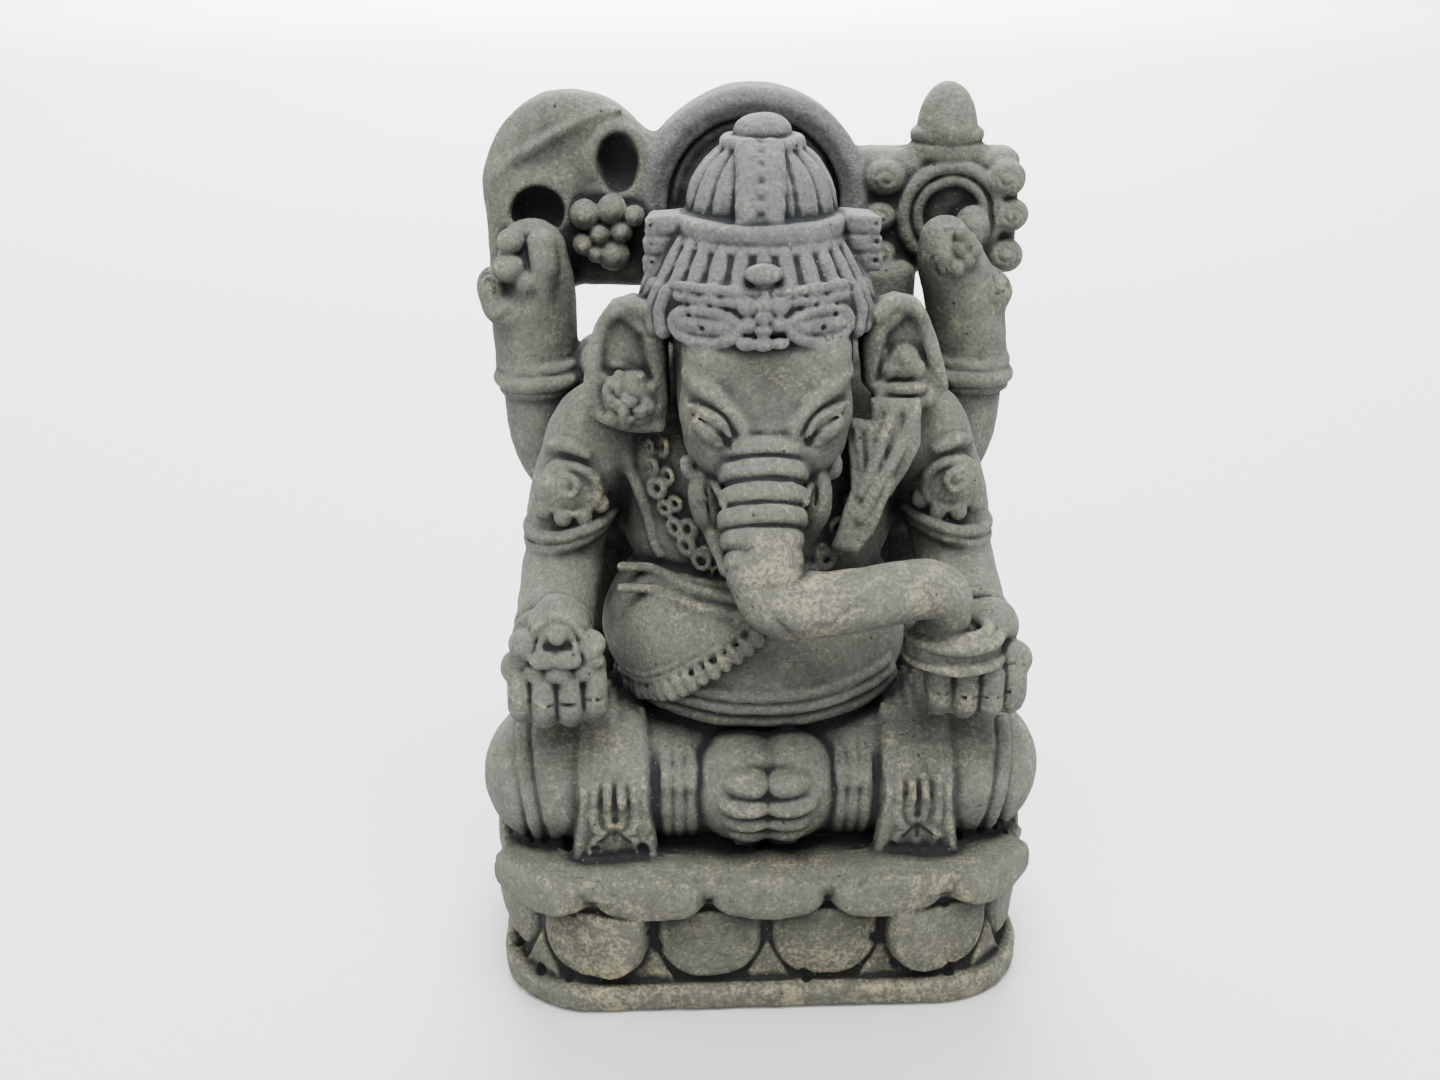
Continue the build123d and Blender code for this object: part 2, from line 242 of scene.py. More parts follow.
def cast(obj):
    mesh = obj.data
    mesh.calc_loop_triangles()
    points = np.empty(len(mesh.vertices) * 3, np.float32)
    mesh.vertices.foreach_get("co", points)
    points = points.reshape(-1, 3) / mm
    triangles = np.empty(len(mesh.loop_triangles) * 3, np.int32)
    mesh.loop_triangles.foreach_get("vertices", triangles)
    low, high = points.min(0), points.max(0)
    band = clay["reach"] / voxel

    def distance(x, y, z):
        first = (x.ravel()[0], y.ravel()[0], z.ravel()[0])
        local = ((points - np.array(first)) / voxel).astype(np.float32)
        grid = vdb.FloatGrid.createLevelSetFromPolygons(
            local, triangles=triangles.reshape(-1, 3).astype(np.uint32), exBandWidth=band, inBandWidth=band)
        out = np.full((x.size, y.size, z.size), far / voxel, np.float32)
        grid.copyToArray(out)
        return out * np.float32(voxel)

    return distance, low, high


def add(stroke, soft=3.0):
    return 1, soft, stroke


def cut(stroke, soft=1.0):
    return -1, soft, stroke


def outside(stroke):
    distance, low, high = stroke
    return (lambda x, y, z: -distance(x, y, z)), low - 90, high + 90


def carve(node, strokes):
    # more strokes on a piece already roughed out
    window, field = pieces[node]["window"], pieces[node]["field"]
    reach = clay["reach"]
    for sign, soft, (distance, low, high) in strokes:
        part = windowOf(low - reach, high + reach)
        part = tuple(slice(max(p.start, w.start), min(p.stop, w.stop)) for p, w in zip(part, window))
        if any(p.stop <= p.start for p in part):
            continue
        here = tuple(slice(p.start - w.start, p.stop - w.start) for p, w in zip(part, window))
        d = distance(*coordinates(part))
        if sign > 0:
            field[here] = smoothMin(field[here], d, soft)
        else:
            field[here] = -smoothMin(-field[here], d, soft)


def shape(node, strokes, blend=2.0, slot="figure_stone"):
    solid = [s for s in strokes if s[0] > 0]
    reach = clay["reach"] + 3
    window = windowOf(np.min([s[2][1] for s in solid], 0) - reach,
                      np.max([s[2][2] for s in solid], 0) + reach)
    field = np.full(tuple(w.stop - w.start for w in window), far, np.float32)
    pieces[node] = {"node": node, "window": window, "field": field, "slot": slot, "blend": blend,
                    "index": len(pieces)}
    carve(node, strokes)


def frontOf(nodes, x, z):
    # how far forward these pieces reach at a place seen from the front
    found = []
    for node in nodes:
        window, field = pieces[node]["window"], pieces[node]["field"]
        i, k = (int(round((v - gridLow[n]) / voxel)) - window[n].start for v, n in ((x, 0), (z, 2)))
        if 0 <= i < field.shape[0] and 0 <= k < field.shape[2]:
            line = field[i, :, k]
            inside = np.nonzero(line < 0)[0]
            if len(inside) and inside[0] > 0:
                j = inside[0]
                share = line[j - 1] / (line[j - 1] - line[j])
                found.append(gridLow[1] + (window[1].start + j - 1 + share) * voxel)
    return min(found) if found else None


def draped(nodes, points, lift=0.0):
    # places given as x and z, laid on the front of these pieces and lifted off it
    depths = [frontOf([nodes] if isinstance(nodes, str) else nodes, p[0], p[1]) for p in points]
    known = [d for d in depths if d is not None]
    out, last = [], known[0]
    for (x, z), depth in zip(points, depths):
        last = last if depth is None else depth
        out.append((x, last - lift, z))
    return np.array(out)


def assemble():
    # one blended block, and for every place the nearest piece and the distance to the next
    for piece in pieces.values():
        window, field = piece["window"], piece["field"]
        closer = field < nearest[window]
        second[window] = np.where(closer, nearest[window], np.minimum(second[window], field))
        owner[window] = np.where(closer, piece["index"], owner[window])
        nearest[window] = np.minimum(nearest[window], field)
        stone[window] = smoothMin(stone[window], field, piece["blend"])


# What repeats along a path is set out by Geometry Nodes.
def addNode(tree, kind, links=None, **settings):
    node = tree.nodes.new(kind)
    for key, value in settings.items():
        setattr(node, key, value)
    for socket, source in (links or {}).items():
        target = node.inputs[socket]
        if isinstance(source, bpy.types.NodeSocket):
            tree.links.new(source, target)
        else:
            target.default_value = source
    return node


def rowTree():
    tree = bpy.data.node_groups.new("rowAlongPath", "GeometryNodeTree")
    face = tree.interface
    face.new_socket("Geometry", in_out="INPUT", socket_type="NodeSocketGeometry")
    for name, kind in (("Shape", "Object"), ("Count", "Int"), ("Size spread", "Float"),
                       ("Tilt spread", "Float"), ("Seed", "Int"), ("Material", "Material")):
        face.new_socket(name, in_out="INPUT", socket_type="NodeSocket" + kind)
    face.new_socket("Geometry", in_out="OUTPUT", socket_type="NodeSocketGeometry")
    given = tree.nodes.new("NodeGroupInput").outputs
    path = addNode(tree, "GeometryNodeResampleCurve", {"Curve": given["Geometry"], "Count": given["Count"]})
    points = addNode(tree, "GeometryNodeCurveToPoints", {"Curve": path.outputs[0]}, mode="EVALUATED")
    shape = addNode(tree, "GeometryNodeObjectInfo", {"Object": given["Shape"]})
    low = addNode(tree, "ShaderNodeMath", {0: 1.0, 1: given["Size spread"]}, operation="SUBTRACT")
    high = addNode(tree, "ShaderNodeMath", {0: 1.0, 1: given["Size spread"]}, operation="ADD")
    size = addNode(tree, "FunctionNodeRandomValue", {"Seed": given["Seed"]}, data_type="FLOAT")
    tree.links.new(low.outputs[0], size.inputs[2])
    tree.links.new(high.outputs[0], size.inputs[3])
    lean = addNode(tree, "ShaderNodeMath", {0: given["Tilt spread"], 1: -1.0}, operation="MULTIPLY")
    tilt = addNode(tree, "FunctionNodeRandomValue", {"Seed": given["Seed"]}, data_type="FLOAT")
    tree.links.new(lean.outputs[0], tilt.inputs[2])
    tree.links.new(given["Tilt spread"], tilt.inputs[3])
    extra = addNode(tree, "ShaderNodeCombineXYZ", {"X": tilt.outputs[1], "Y": tilt.outputs[1]})
    placed = addNode(tree, "GeometryNodeInstanceOnPoints", {
        "Points": points.outputs[0], "Instance": shape.outputs["Geometry"],
        "Rotation": points.outputs["Rotation"], "Scale": size.outputs[1]})
    leaned = addNode(tree, "GeometryNodeRotateInstances", {
        "Instances": placed.outputs[0], "Rotation": extra.outputs[0]})
    real = addNode(tree, "GeometryNodeRealizeInstances", {"Geometry": leaned.outputs[0]})
    done = addNode(tree, "GeometryNodeSetMaterial",
                   {"Geometry": real.outputs[0], "Material": given["Material"]})
    tree.links.new(done.outputs[0], tree.nodes.new("NodeGroupOutput").inputs[0])
    return tree


rowOnPath = rowTree()
roughStone = bpy.data.materials.new("stoneUnderWork")


def curveObject(name, points, closed=False, smooth=True):
    data = bpy.data.curves.new(name, "CURVE")
    data.dimensions = "3D"
    spline = data.splines.new("NURBS" if smooth else "POLY")
    spline.points.add(len(points) - 1)
    for target, point in zip(spline.points, points):
        target.co = (*(np.array(point) * mm), 1)
    spline.use_cyclic_u, spline.use_endpoint_u, spline.order_u = closed, not closed, 3
    obj = bpy.data.objects.new(name, data)
    bpy.context.scene.collection.objects.link(obj)
    return obj


def grown(obj, **inputs):
    # the row on this path as a plain mesh object; obj is used up
    modifier = obj.modifiers.new("grow", "NODES")
    modifier.node_group = rowOnPath
    names = {item.name: item.identifier for item in rowOnPath.interface.items_tree if item.in_out == "INPUT"}
    for name, value in {**inputs, "Material": roughStone}.items():
        modifier[names[name.replace("_", " ")]] = value
    mesh = bpy.data.meshes.new_from_object(obj.evaluated_get(bpy.context.evaluated_depsgraph_get()))
    result = bpy.data.objects.new(obj.name + "Grown", mesh)
    bpy.data.objects.remove(obj)
    return result


def roundedLoop(width, depth, corner, z, count, shift):
    # evenly spaced places on a rounded rectangle, walked from the front middle
    halfW, halfD, arc = width / 2 - corner, depth / 2 - corner, corner * math.pi / 2
    legs = [halfW, arc, 2 * halfD, arc, 2 * halfW, arc, 2 * halfD, arc, halfW]
    total = sum(legs)
    out = []
    for i in range(count):
        d, leg = (i + shift) * total / count % total, 0
        while d > legs[leg]:
            d, leg = d - legs[leg], leg + 1
        turns = (leg + 1) // 2
        if leg % 2:
            cx, cy = ((halfW, -halfD), (halfW, halfD), (-halfW, halfD), (-halfW, -halfD))[turns - 1]
            angle = -math.pi / 2 + (turns - 1) * math.pi / 2 + d / corner
            out.append((cx + corner * math.cos(angle), cy + corner * math.sin(angle), z, angle))
        else:
            along = d if leg in (0, 8) else d - legs[leg] / 2
            along = along - halfW if leg == 8 else along
            angle = -math.pi / 2 + turns * math.pi / 2
            x = (along, width / 2, -along, -width / 2, along)[leg // 2]
            y = (-depth / 2, along, depth / 2, -along, -depth / 2)[leg // 2]
            out.append((x, y, z, angle))
    return out


# The lotus base: two rows of petals round a drum, on a plinth.
print("carving the lotus base")
lotus = {
    "petals": 14,
    "lower": {"width": 49.5, "height": 38.0, "proud": 5.2, "lip": 1.0},
    "upper": {"width": 52.0, "height": 24.0, "proud": 9.0, "lip": 1.4},
    "sizeSpread": 0.03, "tiltSpread": 0.03,
    "drumCorner": 40, "rimCorner": 44, "pathPoints": 560,
}


def petalMesh(name, width, height, proud, lip, root, outline):
    # local Z runs along the row, X stands out of the drum and Y is down
    count, rows = 26, 20
    points = []
    for layer in (0, 1):
        for j in range(rows + 1):
            v = j / rows
            half, level = outline(v)
            for i in range(count + 1):
                u = 2 * i / count - 1
                rim = max(abs(u), abs(2 * v - 1))
                swell = (1 - abs(u) ** 5) ** 0.5 * (1 - abs(2 * v - 1) ** 6) ** 0.5
                edge = math.exp(-((rim - 0.86) / 0.07) ** 2)
                front = proud * swell * (0.82 + 0.18 * (1 - u * u)) + lip * edge * (1 if rim < 0.97 else 0)
                points.append((front if layer == 0 else -root, -level(u) * height, u * half * width / 2))
    faces, size = [], (rows + 1) * (count + 1)
    for j in range(rows):
        for i in range(count):
            a = j * (count + 1) + i
            faces.append((a, a + count + 1, a + count + 2, a + 1))
            faces.append(tuple(size + k for k in (a + 1, a + count + 2, a + count + 1, a)))
    loop = [i for i in range(count)] + [j * (count + 1) + count for j in range(rows)]
    loop += [rows * (count + 1) + count - i for i in range(count)] + [(rows - j) * (count + 1)
                                                                      for j in range(rows)]
    for a, b in zip(loop, loop[1:] + loop[:1]):
        faces.append((a, b, size + b, size + a))
    mesh = bpy.data.meshes.new(name)
    mesh.from_pydata([tuple(c * mm for c in p) for p in points], [], faces)
    obj = bpy.data.objects.new(name, mesh)
    return obj


def lowerOutline(v):
    # v runs from the rounded tip at the bottom to the root under the rim
    half = math.sqrt(max(1 - (1 - v / 0.55) ** 2, 0.0)) if v < 0.55 else 1.0
    return max(half, 0.1), lambda u: v - 0.5


def upperOutline(v):
    # a rounded foot and an arched top edge
    half = math.sqrt(max(1 - (1 - v / 0.5) ** 2, 0.0)) if v < 0.5 else 1.0
    return max(half, 0.3), lambda u: v * (1 - 0.3 * abs(u) ** 2.2) - 0.5


def petalRow(name, petal, loop, count, seed, spread=1.0):
    path = curveObject(name, [p[:3] for p in loop], closed=True, smooth=False)
    path.data.twist_mode = "Z_UP"
    row = grown(path, Shape=petal, Count=count, Size_spread=lotus["sizeSpread"] * spread,
                Tilt_spread=lotus["tiltSpread"] * spread, Seed=seed)
    bpy.data.objects.remove(petal)
    return cast(row)


def lotusBase():
    seat, drumMid = mid("seat_slab"), mid("lotus_drum")
    (sx, sy), (dx, dy) = ((boxes[n][1] - boxes[n][0])[:2] for n in ("seat_slab", "lotus_drum"))
    shape("plinth", [add(slab(mid("plinth"), 248, 192, 46, 13, 3.5))], slot="base_stone")
    shape("lotus_drum", [add(slab(drumMid, dx + 1.5, dy + 1.5, 41, 44, 2))], 3, "base_stone")
    shape("seat_slab", [add(slab(seat + (0, 0, 2), sx + 4, sy + 4, 44, 17, 5))], 3, "base_stone")
    low, high = lotus["lower"], lotus["upper"]
    dense = lotus["pathPoints"]
    loop = roundedLoop(dx, dy, lotus["drumCorner"], drumMid[2], dense, 0.5 * dense / lotus["petals"])
    petal = petalMesh("lowerPetal", low["width"], low["height"], low["proud"], low["lip"], 8, lowerOutline)
    shape("lower_petals", [add(petalRow("lowerRow", petal, loop, lotus["petals"], 3))], 1.0, "base_stone")
    loop = roundedLoop(dx, dy, lotus["drumCorner"], drumMid[2] - 11, dense, 0)
    tip = petalMesh("fillerTip", 27, 22, 3.4, 0.8, 5,
                    lambda v: (1.05 - 0.95 * v, lambda u: v - 0.5 - 0.15 * u * u))
    shape("petal_fillers", [add(petalRow("fillerRow", tip, loop, lotus["petals"], 5))], 1.5, "base_stone")
    loop = roundedLoop(sx, sy, lotus["rimCorner"], seat[2] + 0.5, dense, 0)
    petal = petalMesh("upperPetal", high["width"], high["height"], high["proud"], high["lip"], 16,
                      upperOutline)
    leaf = petalMesh("rimLeaf", 26, 10, 4.5, 0.8, 12, lambda v: (1.1 - 0.95 * v, lambda u: v - 0.5))
    notch = roundedLoop(sx, sy, lotus["rimCorner"], seat[2] + 4, dense, 0.5 * dense / lotus["petals"])
    parts = []
    for i in range(lotus["petals"]):
        x, y, z, angle = notch[i * dense // lotus["petals"]]
        out = np.array((math.cos(angle), math.sin(angle), 0))
        across = np.array((-out[1], out[0], 0))
        for side in (-1, 1):
            line = [np.array((x, y, seat[2])) + out * reach + across * side * wide + (0, 0, lift)
                    for reach, wide, lift in ((9.5, 2, -9), (11.5, 5, -2), (11, 10, 4), (6, 15, 10))]
            parts.append(cut(sweep(line, (1.4, 1.6, 1.4, 1.0)), 1.5))
    shape("upper_petals", [add(petalRow("upperRow", petal, loop, lotus["petals"], 7)),
                           add(petalRow("leafRow", leaf, notch, lotus["petals"], 8, 2.5), 1.5)] + parts, 2.0,
                           "base_stone")


lotusBase()

# The body with its belly, sash, bead loops and scarf.
print("carving the body")


def body():
    hips, belly, chest = mid("hips"), mid("belly"), mid("chest")
    shape("hips", [add(ball(hips + (0, -2, -5), (76, 56, 46)))], 6)
    shape("belly", [
        add(ball(belly, (69, 57, 46))),
        add(ball(belly + (0, -10, -13), (65, 48, 35)), 12),
        add(block(belly + (0, 46, -4), (182, 46, 96), None, 12), 8)], 5)
    shape("chest", [
        add(ball(chest + (0, 0, -7), (63, 42, 46))),
        add(ball(chest + (-38, -16, 6), (25, 20, 27)), 10),
        add(ball(chest + (38, -16, 6), (25, 20, 27)), 10),
        add(limb([chest + (-62, 4, 24), chest + (62, 4, 24)], 20), 14),
        add(ball(chest + (0, -5, -27), (62, 48, 34)), 12),
        add(block(chest + (0, 36, 0), (172, 44, 106), None, 12), 8)], 5)
    band = mid("waist_band")
    folds = []
    for lift, thick, wide in ((19, 2.6, 58), (12.5, 3.4, 60), (5, 4.4, 62), (-3, 4.2, 60)):
        arc = draped("belly", [(share * wide, band[2] + lift + 7 * share * share)
                               for share in (-0.98, -0.8, -0.5, -0.2, 0.2, 0.5, 0.8, 0.98)], -thick * 0.2)
        folds.append(add(sweep(arc, thick, 18), 0.8))
    shape("waist_band", folds, 2.5)
    back = mid("back_slab")
    shape("back_slab", [
        add(block(back + (0, -2, 6), (98, 42, 150), None, 12)),
        add(block(back + (54, 0, 42), (46, 34, 34), None, 8), 6)], 6)


def cloths():
    sash, belly = mid("chest_sash"), mid("belly")
    # the cloth ends in a slanting frilled hem and starts under a narrow strap
    cover = [(-95, 197), (-3, 197), (-3, 176), (-16, 167), (-30, 156), (-44, 145), (-56, 136), (-70, 132),
             (-95, 130)]
    cover = [(x - sash[0], z - sash[2]) for x, z in cover]
    shape("chest_sash", [
        add(ball(belly + (0, -5, -1), (74, 62, 49))),
        cut(outside(prism(cover, sash + (0, -10, 0), 150, None, 1)), 1.5),
        cut(block(sash + (0, 130, 0), (400, 160, 200), None, 1), 6)], 1.2)
    hem = [(-66, 136), (-57, 137.5), (-46, 145), (-32, 156), (-18, 167), (-6, 176)]
    lobe = petalMesh("hemLobe", 7.5, 12, 4.2, 0.3, 3,
                     lambda v: (math.sin(math.pi * (0.12 + 0.8 * v)), lambda u: v - 0.5))
    path = curveObject("hemPath", draped("chest_sash", [(x + 1, z + 2.5) for x, z in hem], -0.2))
    path.data.twist_mode = "Z_UP"
    frill = grown(path, Shape=lobe, Count=17, Size_spread=0.18, Tilt_spread=0.2, Seed=4)
    bpy.data.objects.remove(lobe)
    detail = [add(cast(frill), 1.0)]
    for lift, size in ((9.5, 1.5), (13.5, 1.1)):
        line = draped("chest_sash", [(x, z + lift) for x, z in hem], -0.5)
        detail.append(add(sweep(line, size, 22), 0.8))
    for x, z in ((-60, 144), (-52, 147), (-43, 153), (-34, 160), (-25, 167), (-16, 174)):
        line = draped("chest_sash", [(x - 3, z - 3), (x, z), (x + 4, z + 1.5)], 0.3)
        detail.append(cut(sweep(line, 0.9, 6), 0.8))
    for lift, size in ((194, 2.6), (188.5, 2.2)):
        line = draped("chest_sash", [(x, lift + drop)
                                     for x, drop in ((-64, 2), (-50, 1), (-35, 0), (-20, -1), (-6, -2))],
                                     -0.6)
        detail.append(add(sweep(line, size, 16), 1))
    carve("chest_sash", detail)


def strings():
    neck = mid("necklace")
    # a double row of small loops falls from the ear to the middle of the chest
    outer = [(-50, 29), (-49, 20), (-48, 13), (-46, 6), (-43, -1), (-39, -8), (-34, -15), (-28, -20),
             (-20, -25)]
    inner = [(-44, 29), (-43, 20), (-42, 13), (-40, 6), (-37, -1), (-33, -7), (-29, -13), (-23, -18),
             (-16, -23)]
    strokes = []
    bpy.ops.mesh.primitive_torus_add(major_radius=3.2 * mm, minor_radius=1.6 * mm, major_segments=14,
                                     minor_segments=7, rotation=(0, math.pi / 2, 0))
    loop = bpy.context.object
    loop.data.transform(loop.matrix_world)
    loop.rotation_euler = (0, 0, 0)
    for route, count, seed in ((outer, 8, 2), (inner, 6, 6)):
        for side in (-1, 1):
            places = [(neck[0] - side * x, neck[2] + z) for x, z in route]
            path = curveObject("beadPath", draped(["chest", "belly"], places, 1.4))
            path.data.twist_mode = "Z_UP"
            rows = grown(path, Shape=loop, Count=count, Size_spread=0.3, Tilt_spread=0.25, Seed=seed)
            strokes.append(add(cast(rows), 1.2))
    bpy.data.objects.remove(loop)
    shape("necklace", strokes, 1.5)
    scarf = mid("scarf_ends")
    edge = [(-60, 264), (-60, 250), (-59, 240), (-55, 230), (-52, 220), (-50, 209), (-47, 202)]
    places = draped(["chest", "belly"], [(x, z) for x, z in edge], 0.3)
    strokes = [add(sweep(places, (2.6, 3.0, 3.0, 2.8, 2.6, 2.2, 1.8), 18), 1)]
    # the hanging scarf on the other side: two pleated lengths that end in points
    outer = [(46, 276), (68, 276), (69, 256), (64, 244), (57, 232), (50, 246)]
    inner = [(36, 268), (50, 266), (58, 240), (49, 217), (42, 207), (30, 210), (38, 236)]
    for outline, turn, depth in ((outer, (-10, 0, -8), -34), (inner, (-18, 0, -6), -40)):
        heart = np.mean(outline, axis=0)
        local = [(x - heart[0], z - heart[1]) for x, z in outline]
        strokes.append(add(prism(local, (heart[0], depth, heart[1]), 13, turn, 3), 2))
    shape("scarf_ends", strokes, 1.8)
    detail = []
    for line in (((52, 270), (53, 256), (55, 244)), ((60, 270), (61, 256), (58, 242)),
                 ((43, 262), (44, 244), (40, 222)),
                 ((38, 262), (40, 242), (36, 222)), ((49, 258), (51, 240), (45, 220))):
        detail.append(cut(sweep(draped("scarf_ends", line, 0.5), 1.4, 9), 1.5))
    for line in (((66, 272), (60, 256), (50, 240), (42, 226)), ((56, 272), (50, 254), (42, 236))):
        detail.append(add(sweep(draped("scarf_ends", line, -0.8), 2.4, 9), 1.5))
    carve("scarf_ends", detail)


body()
cloths()
strings()

# The folded legs, the soles set together and the cloth that falls over the shins.
print("carving the legs")
legs = {"kneeGrooves": (10, 33, 41),
        "toeRows": ((16.0, 7.0), (5.0, 5.4), (-4.0, 4.2), (-11.5, 4.0), (-18.5, 3.4))}


def oneLeg(side, name):
    def at(dx, dy, dz):
        return mid(name + "_leg", side * dx, dy, dz)
    strokes = [
        add(sweep([at(-22, 34, -2), at(4, 4, -2), at(24, -36, -4)], (38, 37, 33), 8)),
        add(limb([at(24, -38, -5), at(-30, -41, -6), at(-68, -42, -8)], (32.5, 30, 27)), 6),
        add(ball(at(26, -40, -6), (32.5, 32, 32)), 6)]
    for offset, width in zip(legs["kneeGrooves"], (1.3, 1.6, 1.3)):
        bulge = 32.0 * math.sqrt(max(1 - ((offset - 26) / 33) ** 2, 0.04))
        strokes.append(cut(ring(at(offset, -40, -6), bulge + 1.0, width, (0, 90 + side * 8, 0)), 2.5))
    shape(name + "_leg", strokes, 4)


def oneFoot(side, name):
    def at(dx, dy, dz):
        return mid(name + "_foot", side * (dx - 19.5), dy, dz)
    sole = [
        add(ball(at(10, 4, 0), (24.5, 21, 27))),
        cut(prism([(-15, 12), (15, 12), (2, -9), (-2, -9)], at(0, -24, 20), 20, None, 2), 6)]
    shape(name + "_foot", sole, 2.5)


def feet():
    base = mid("toes")
    strokes = []
    for side, name in sides:
        oneLeg(side, name)
        oneFoot(side, name)
    for side, name in sides:
        both = ["right_foot", "left_foot"]
        for lift, thick in legs["toeRows"]:
            z = base[2] + lift - 2
            wide = 20 - 0.3 * abs(lift - 4)
            places = [(side * (x - 0.8), z + 0.06 * x)
                      for x in (wide, wide * 0.72, wide * 0.45, thick * 0.75)]
            row = draped(both, places, -thick * 0.2)
            strokes.append(add(sweep(row, (thick * 0.6, thick * 0.9, thick, thick * 0.85), 7), 1.0))
    shape("toes", strokes, 1.5)


def falls():
    pleat = mid("leg_pleats")
    strokes = []
    for side, name in sides:
        o = mid(name + "_sash_fall")
        node = name + "_sash_fall"
        cloth = []
        for x, thick in ((-11.5, 4.6), (-6, 3.8), (0, 3.6), (6, 3.8), (11.5, 4.6)):
            drop = ((34, 0.9), (24, 0.95), (8, 1.0), (-8, 1.05), (-20, 1.2), (-33, 1.4))
            line = draped(name + "_leg", [(o[0] + side * x * spread, o[2] + z) for z, spread in drop], 0.4)
            line[:, 1] = np.minimum.accumulate(line[:, 1])
            cloth.append(add(sweep(line, thick * np.array((0.5, 0.85, 1, 1, 1, 1)), 16), 3.5))
        foot = np.array((o[0], line[-1][1] + 1.0, o[2]))
        wide = [(-17.5, -32), (-9, -35), (0, -29), (9, -35), (18, -33), (14.5, 4), (-14.5, 4)]
        cloth.append(add(prism([(side * x, z) for x, z in wide], foot, 9, None, 2.5), 4))
        shape(node, cloth, 3)

        def along(points, lift):
            return draped(node, [(o[0] + side * x, o[2] + z) for x, z in points], lift)
        detail = []
        for line, size in ((((-13, 30), (-13.5, 8), (-14.5, -8), (-17, -27)), 1.7),
                           (((-8.6, 30), (-9, 8), (-9.5, -6)), 1.5),
                           (((12.5, 30), (13, 8), (14, -8), (17, -29)), 1.8),
                           (((8, 30), (8.5, 8), (9, -4)), 1.5)):
            detail.append(add(sweep(along(line, -size * 0.35), size, 12), 1))
        for x in (-3.2, 2.6):
            detail.append(add(sweep(along(((x, 34), (x, 8), (x * 1.2, -5), (x * 0.8, -12)), -0.5), 1.9, 12),
                              1))
        detail.append(cut(ball(along(((-0.5, -9),), 2.2)[0], (2.2, 3, 2.2)), 0.8))
        for line in (((-10, -6), (-8.5, -14), (-5, -17), (-9, -20), (-11, -26)),
                     ((10, -4), (8.5, -13), (5, -17), (9, -20), (12, -27))):
            detail.append(add(sweep(along(line, -0.4), (1.2, 2.2, 1.6, 2.0, 1.2), 12), 0.8))
        detail.append(cut(sweep(along(((-7, -20), (-2, -16.5), (0, -16), (2, -16.5), (7, -20)), 0.4), 1.0, 8),
                          1))
        detail.append(cut(sweep(along(((0, -15), (0, -21)), 0.2), 1.1, 5), 1))
        carve(node, detail)
        for x in (34, 39.5, 45):
            places = [(side * x, pleat[2] + z) for z in (34, 18, 2, -14, -27)]
            strokes.append(add(sweep(draped([name + "_leg", name + "_foot"], places, -1.2), 2.9, 14), 1.2))
    shape("leg_pleats", strokes, 2)


feet()
falls()

# The head with trunk, tusks and ears.
print("carving the head")
face = {"rings": 7}


